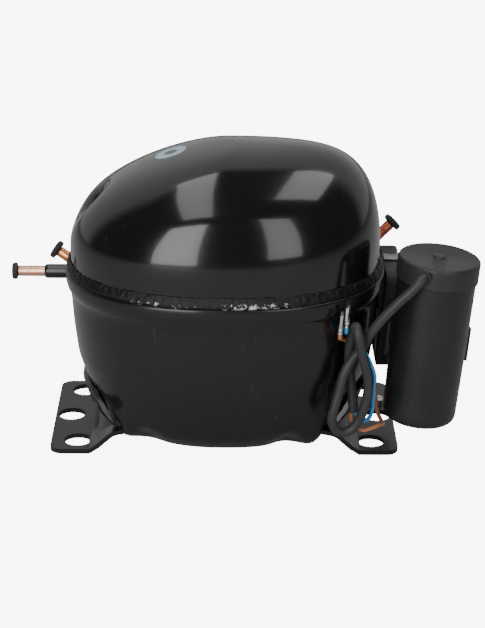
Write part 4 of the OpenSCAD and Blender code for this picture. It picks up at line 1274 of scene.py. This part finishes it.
class COMPRESSOR_OT_terminal_box(bpy.types.Operator):
    """Builds the cover over the terminals and its spring clip"""

    bl_idname = "compressor.terminal_box"
    bl_label = "Terminal box"

    def execute(self, context):
        middle_y, middle_z, rim_bottom = 17.0, 67.5, 84.0

        def ring(x, shrink, radius):
            points = []
            for across, up in rounded_plate(53.9 - 2 * shrink, 58.9 - 2 * shrink, radius):
                z = middle_z + up
                clear = 93.05 if z > rim_bottom else 89.65 if z > 76 else x
                points.append((max(x, clear), middle_y + across, z))
            return np.array(points)

        wall = 2.0
        rings = [ring(101.8, wall, 3.8), ring(101.2, wall, 4.2), ring(88.85, wall, 4.2), ring(88.85, 0, 6.0),
                 ring(89.4, 0, 6.0), ring(100.9, 0, 6.0), ring(101.9, 0.25, 5.8), ring(102.6, 0.8, 5.4),
                 ring(102.95, 1.7, 4.6)]
        parts = [skin(rings)]
        for across in (-15, -10, -5):
            rib = middle_y + across
            parts.append(rounded_box((102.6, rib - 0.8, 46), (102.99, rib + 0.8, 90), 0.18, 2))
        add_piece("terminal_box_cover", join_parts(parts), "box_plastic", 35,
                  ["terminal_cover"])
        clip = [rounded_box((103.2, 12.1, 37), (104.15, 21.9, 98.1), 0.3, 3),
                rounded_box((93.2, 12.1, 97.25), (104.1, 21.9, 98.15), 0.3, 3),
                rounded_box((92.1, 12.1, 36.85), (104.1, 21.9, 37.75), 0.3, 3)]
        add_piece("terminal_box_clip", join_parts(clip), "spring_steel", 35,
                  ["cover_clip"])
        return {"FINISHED"}


# ---------------------------------------------------------------- light, floor and camera


SENSOR_WIDTH = 36.0
FOCAL_LENGTH = 108.9171975
CAMERA_PLACE = (0.0004, -1.0303, 0.4881)
CAMERA_PITCH, CAMERA_YAW, CAMERA_ROLL = math.radians(22.19), math.radians(0.55), math.radians(0.51)
FLOOR_HALF_SIZE = 6.0
FLOOR_DROP = 0.0002
# Each soft box: name, place, the point it faces, width, height and brightness.
SOFT_BOXES = (("left_ceiling_box", (-0.34, 0.0, 1.4), (-0.34, 0.0, 0.0), 0.42, 1.5, 2.4),
              ("right_ceiling_box", (0.60, 0.25, 1.4), (0.60, 0.25, 0.0), 0.60, 0.9, 2.4),
              ("left_window", (-0.75, -1.5, 1.0), (-0.75, 0.0, 1.0), 0.9, 1.9, 4.5),
              ("right_window", (0.87, -1.5, 1.3), (0.87, 0.0, 1.3), 0.75, 2.2, 2.4))


class COMPRESSOR_OT_stage(bpy.types.Operator):
    """Sets the camera, floor and soft light"""

    bl_idname = "compressor.stage"
    bl_label = "Stage"

    def add_camera(self, scene):
        lens = bpy.data.cameras.new("view_camera")
        lens.sensor_width = SENSOR_WIDTH
        lens.lens = FOCAL_LENGTH
        lens.clip_start = 0.05
        lens.clip_end = 50.0
        camera = bpy.data.objects.new("view_camera", lens)
        level = math.cos(CAMERA_PITCH)
        ahead = Vector((math.sin(CAMERA_YAW) * level, math.cos(CAMERA_YAW) * level, -math.sin(CAMERA_PITCH)))
        right = Vector((math.cos(CAMERA_YAW), -math.sin(CAMERA_YAW), 0))
        up = right.cross(ahead)
        c, s = math.cos(CAMERA_ROLL), math.sin(CAMERA_ROLL)
        right, up = c * right + s * up, c * up - s * right
        turn = Matrix((right, up, -ahead)).transposed().to_4x4()
        camera.matrix_world = Matrix.Translation(CAMERA_PLACE) @ turn
        scene.collection.objects.link(camera)
        scene.camera = camera

    def add_floor(self, scene, stage):
        size = FLOOR_HALF_SIZE
        mesh = bpy.data.meshes.new("floor")
        mesh.from_pydata([(-size, -size, 0), (size, -size, 0), (size, size, 0), (-size, size, 0)],
                         [], [(0, 1, 2, 3)])
        material, tree, shader = start_material("studio_floor")
        shader.inputs["Base Color"].default_value = (*stage.floor_tone, 1)
        shader.inputs["Roughness"].default_value = 0.75
        seen = node(tree, "ShaderNodeLightPath")
        shader.inputs["Emission Color"].default_value = (1, 1, 1, 1)
        tree.links.new(maths(tree, "MULTIPLY", seen.outputs["Is Camera Ray"], stage.floor_glow),
                       shader.inputs["Emission Strength"])
        mesh.materials.append(material)
        floor = bpy.data.objects.new("floor", mesh)
        floor.location.z = -FLOOR_DROP
        scene.collection.objects.link(floor)

    def add_surround(self, scene, stage):
        """A dim room with a pale sweep behind the object, white to the camera."""
        world = bpy.data.worlds.new("studio")
        scene.world = world
        world.use_nodes = True
        tree = world.node_tree
        background = tree.nodes["Background"]
        background.inputs[0].default_value = (1, 1, 1, 1)
        look = node(tree, "ShaderNodeTexCoord")
        split = node(tree, "ShaderNodeSeparateXYZ", [(0, look.outputs["Generated"])])
        behind = span(tree, split.outputs[1], 0.20, 0.42)
        below_edge = span(tree, split.outputs[2], 0.80, 0.86, 1.0, 0.0)
        backdrop = maths(tree, "MULTIPLY", behind, below_edge)
        dim = maths(tree, "MULTIPLY_ADD", backdrop, stage.backdrop, stage.surround)
        seen = node(tree, "ShaderNodeLightPath")
        tree.links.new(maths(tree, "MULTIPLY_ADD", seen.outputs["Is Camera Ray"], stage.floor_glow, dim),
                       background.inputs[1])

    def add_soft_boxes(self, scene, stage):
        for label, spot, aim_at, width, height, tone in SOFT_BOXES:
            light = bpy.data.lights.new(label, "AREA")
            light.shape = "RECTANGLE"
            light.size, light.size_y = width, height
            light.energy = math.pi * width * height * tone * stage.box_power
            lamp = bpy.data.objects.new(label, light)
            facing = (Vector(spot) - Vector(aim_at)).to_track_quat("Z", "Y").to_matrix().to_4x4()
            lamp.matrix_world = Matrix.Translation(spot) @ facing
            scene.collection.objects.link(lamp)

    def execute(self, context):
        scene, stage = context.scene, context.scene.compressor_stage
        self.add_camera(scene)
        self.add_floor(scene, stage)
        self.add_surround(scene, stage)
        self.add_soft_boxes(scene, stage)
        return {"FINISHED"}


# ---------------------------------------------------------------- panel and start


class COMPRESSOR_PT_panel(bpy.types.Panel):
    """Lists the pieces and their sizes"""

    bl_idname = "COMPRESSOR_PT_panel"
    bl_label = "Compressor"
    bl_space_type = "VIEW_3D"
    bl_region_type = "UI"
    bl_category = "Compressor"

    def draw(self, context):
        for group in SETTINGS:
            box = self.layout.box()
            values = getattr(context.scene, group)
            for name in values.bl_rna.properties.keys():
                if name not in ("rna_type", "name"):
                    box.prop(values, name)
        for operator in OPERATORS:
            self.layout.operator(operator.bl_idname)


SETTINGS = {
    "compressor_housing": HousingSettings,
    "compressor_feet": FeetSettings,
    "compressor_capacitor": CapacitorSettings,
    "compressor_cables": CableSettings,
    "compressor_motor": MotorSettings,
    "compressor_stage": StageSettings,
}
OPERATORS = (
    COMPRESSOR_OT_stage,
    COMPRESSOR_OT_cables,
    COMPRESSOR_OT_cover,
    COMPRESSOR_OT_lower_shell,
    COMPRESSOR_OT_weld,
    COMPRESSOR_OT_feet,
    COMPRESSOR_OT_tubes,
    COMPRESSOR_OT_capacitor,
    COMPRESSOR_OT_motor,
    COMPRESSOR_OT_terminal_box,
)


def register():
    for group in SETTINGS.values():
        bpy.utils.register_class(group)
    for name, group in SETTINGS.items():
        setattr(bpy.types.Scene, name, bpy.props.PointerProperty(type=group))
    for operator in OPERATORS:
        bpy.utils.register_class(operator)
    bpy.utils.register_class(COMPRESSOR_PT_panel)


def unregister():
    bpy.utils.unregister_class(COMPRESSOR_PT_panel)
    for operator in reversed(OPERATORS):
        bpy.utils.unregister_class(operator)
    for name in SETTINGS:
        delattr(bpy.types.Scene, name)
    for group in SETTINGS.values():
        bpy.utils.unregister_class(group)


def main():
    register()
    make_materials()
    for operator in OPERATORS:
        family, name = operator.bl_idname.split(".")
        getattr(getattr(bpy.ops, family), name)()


if __name__ == "__main__":
    main()
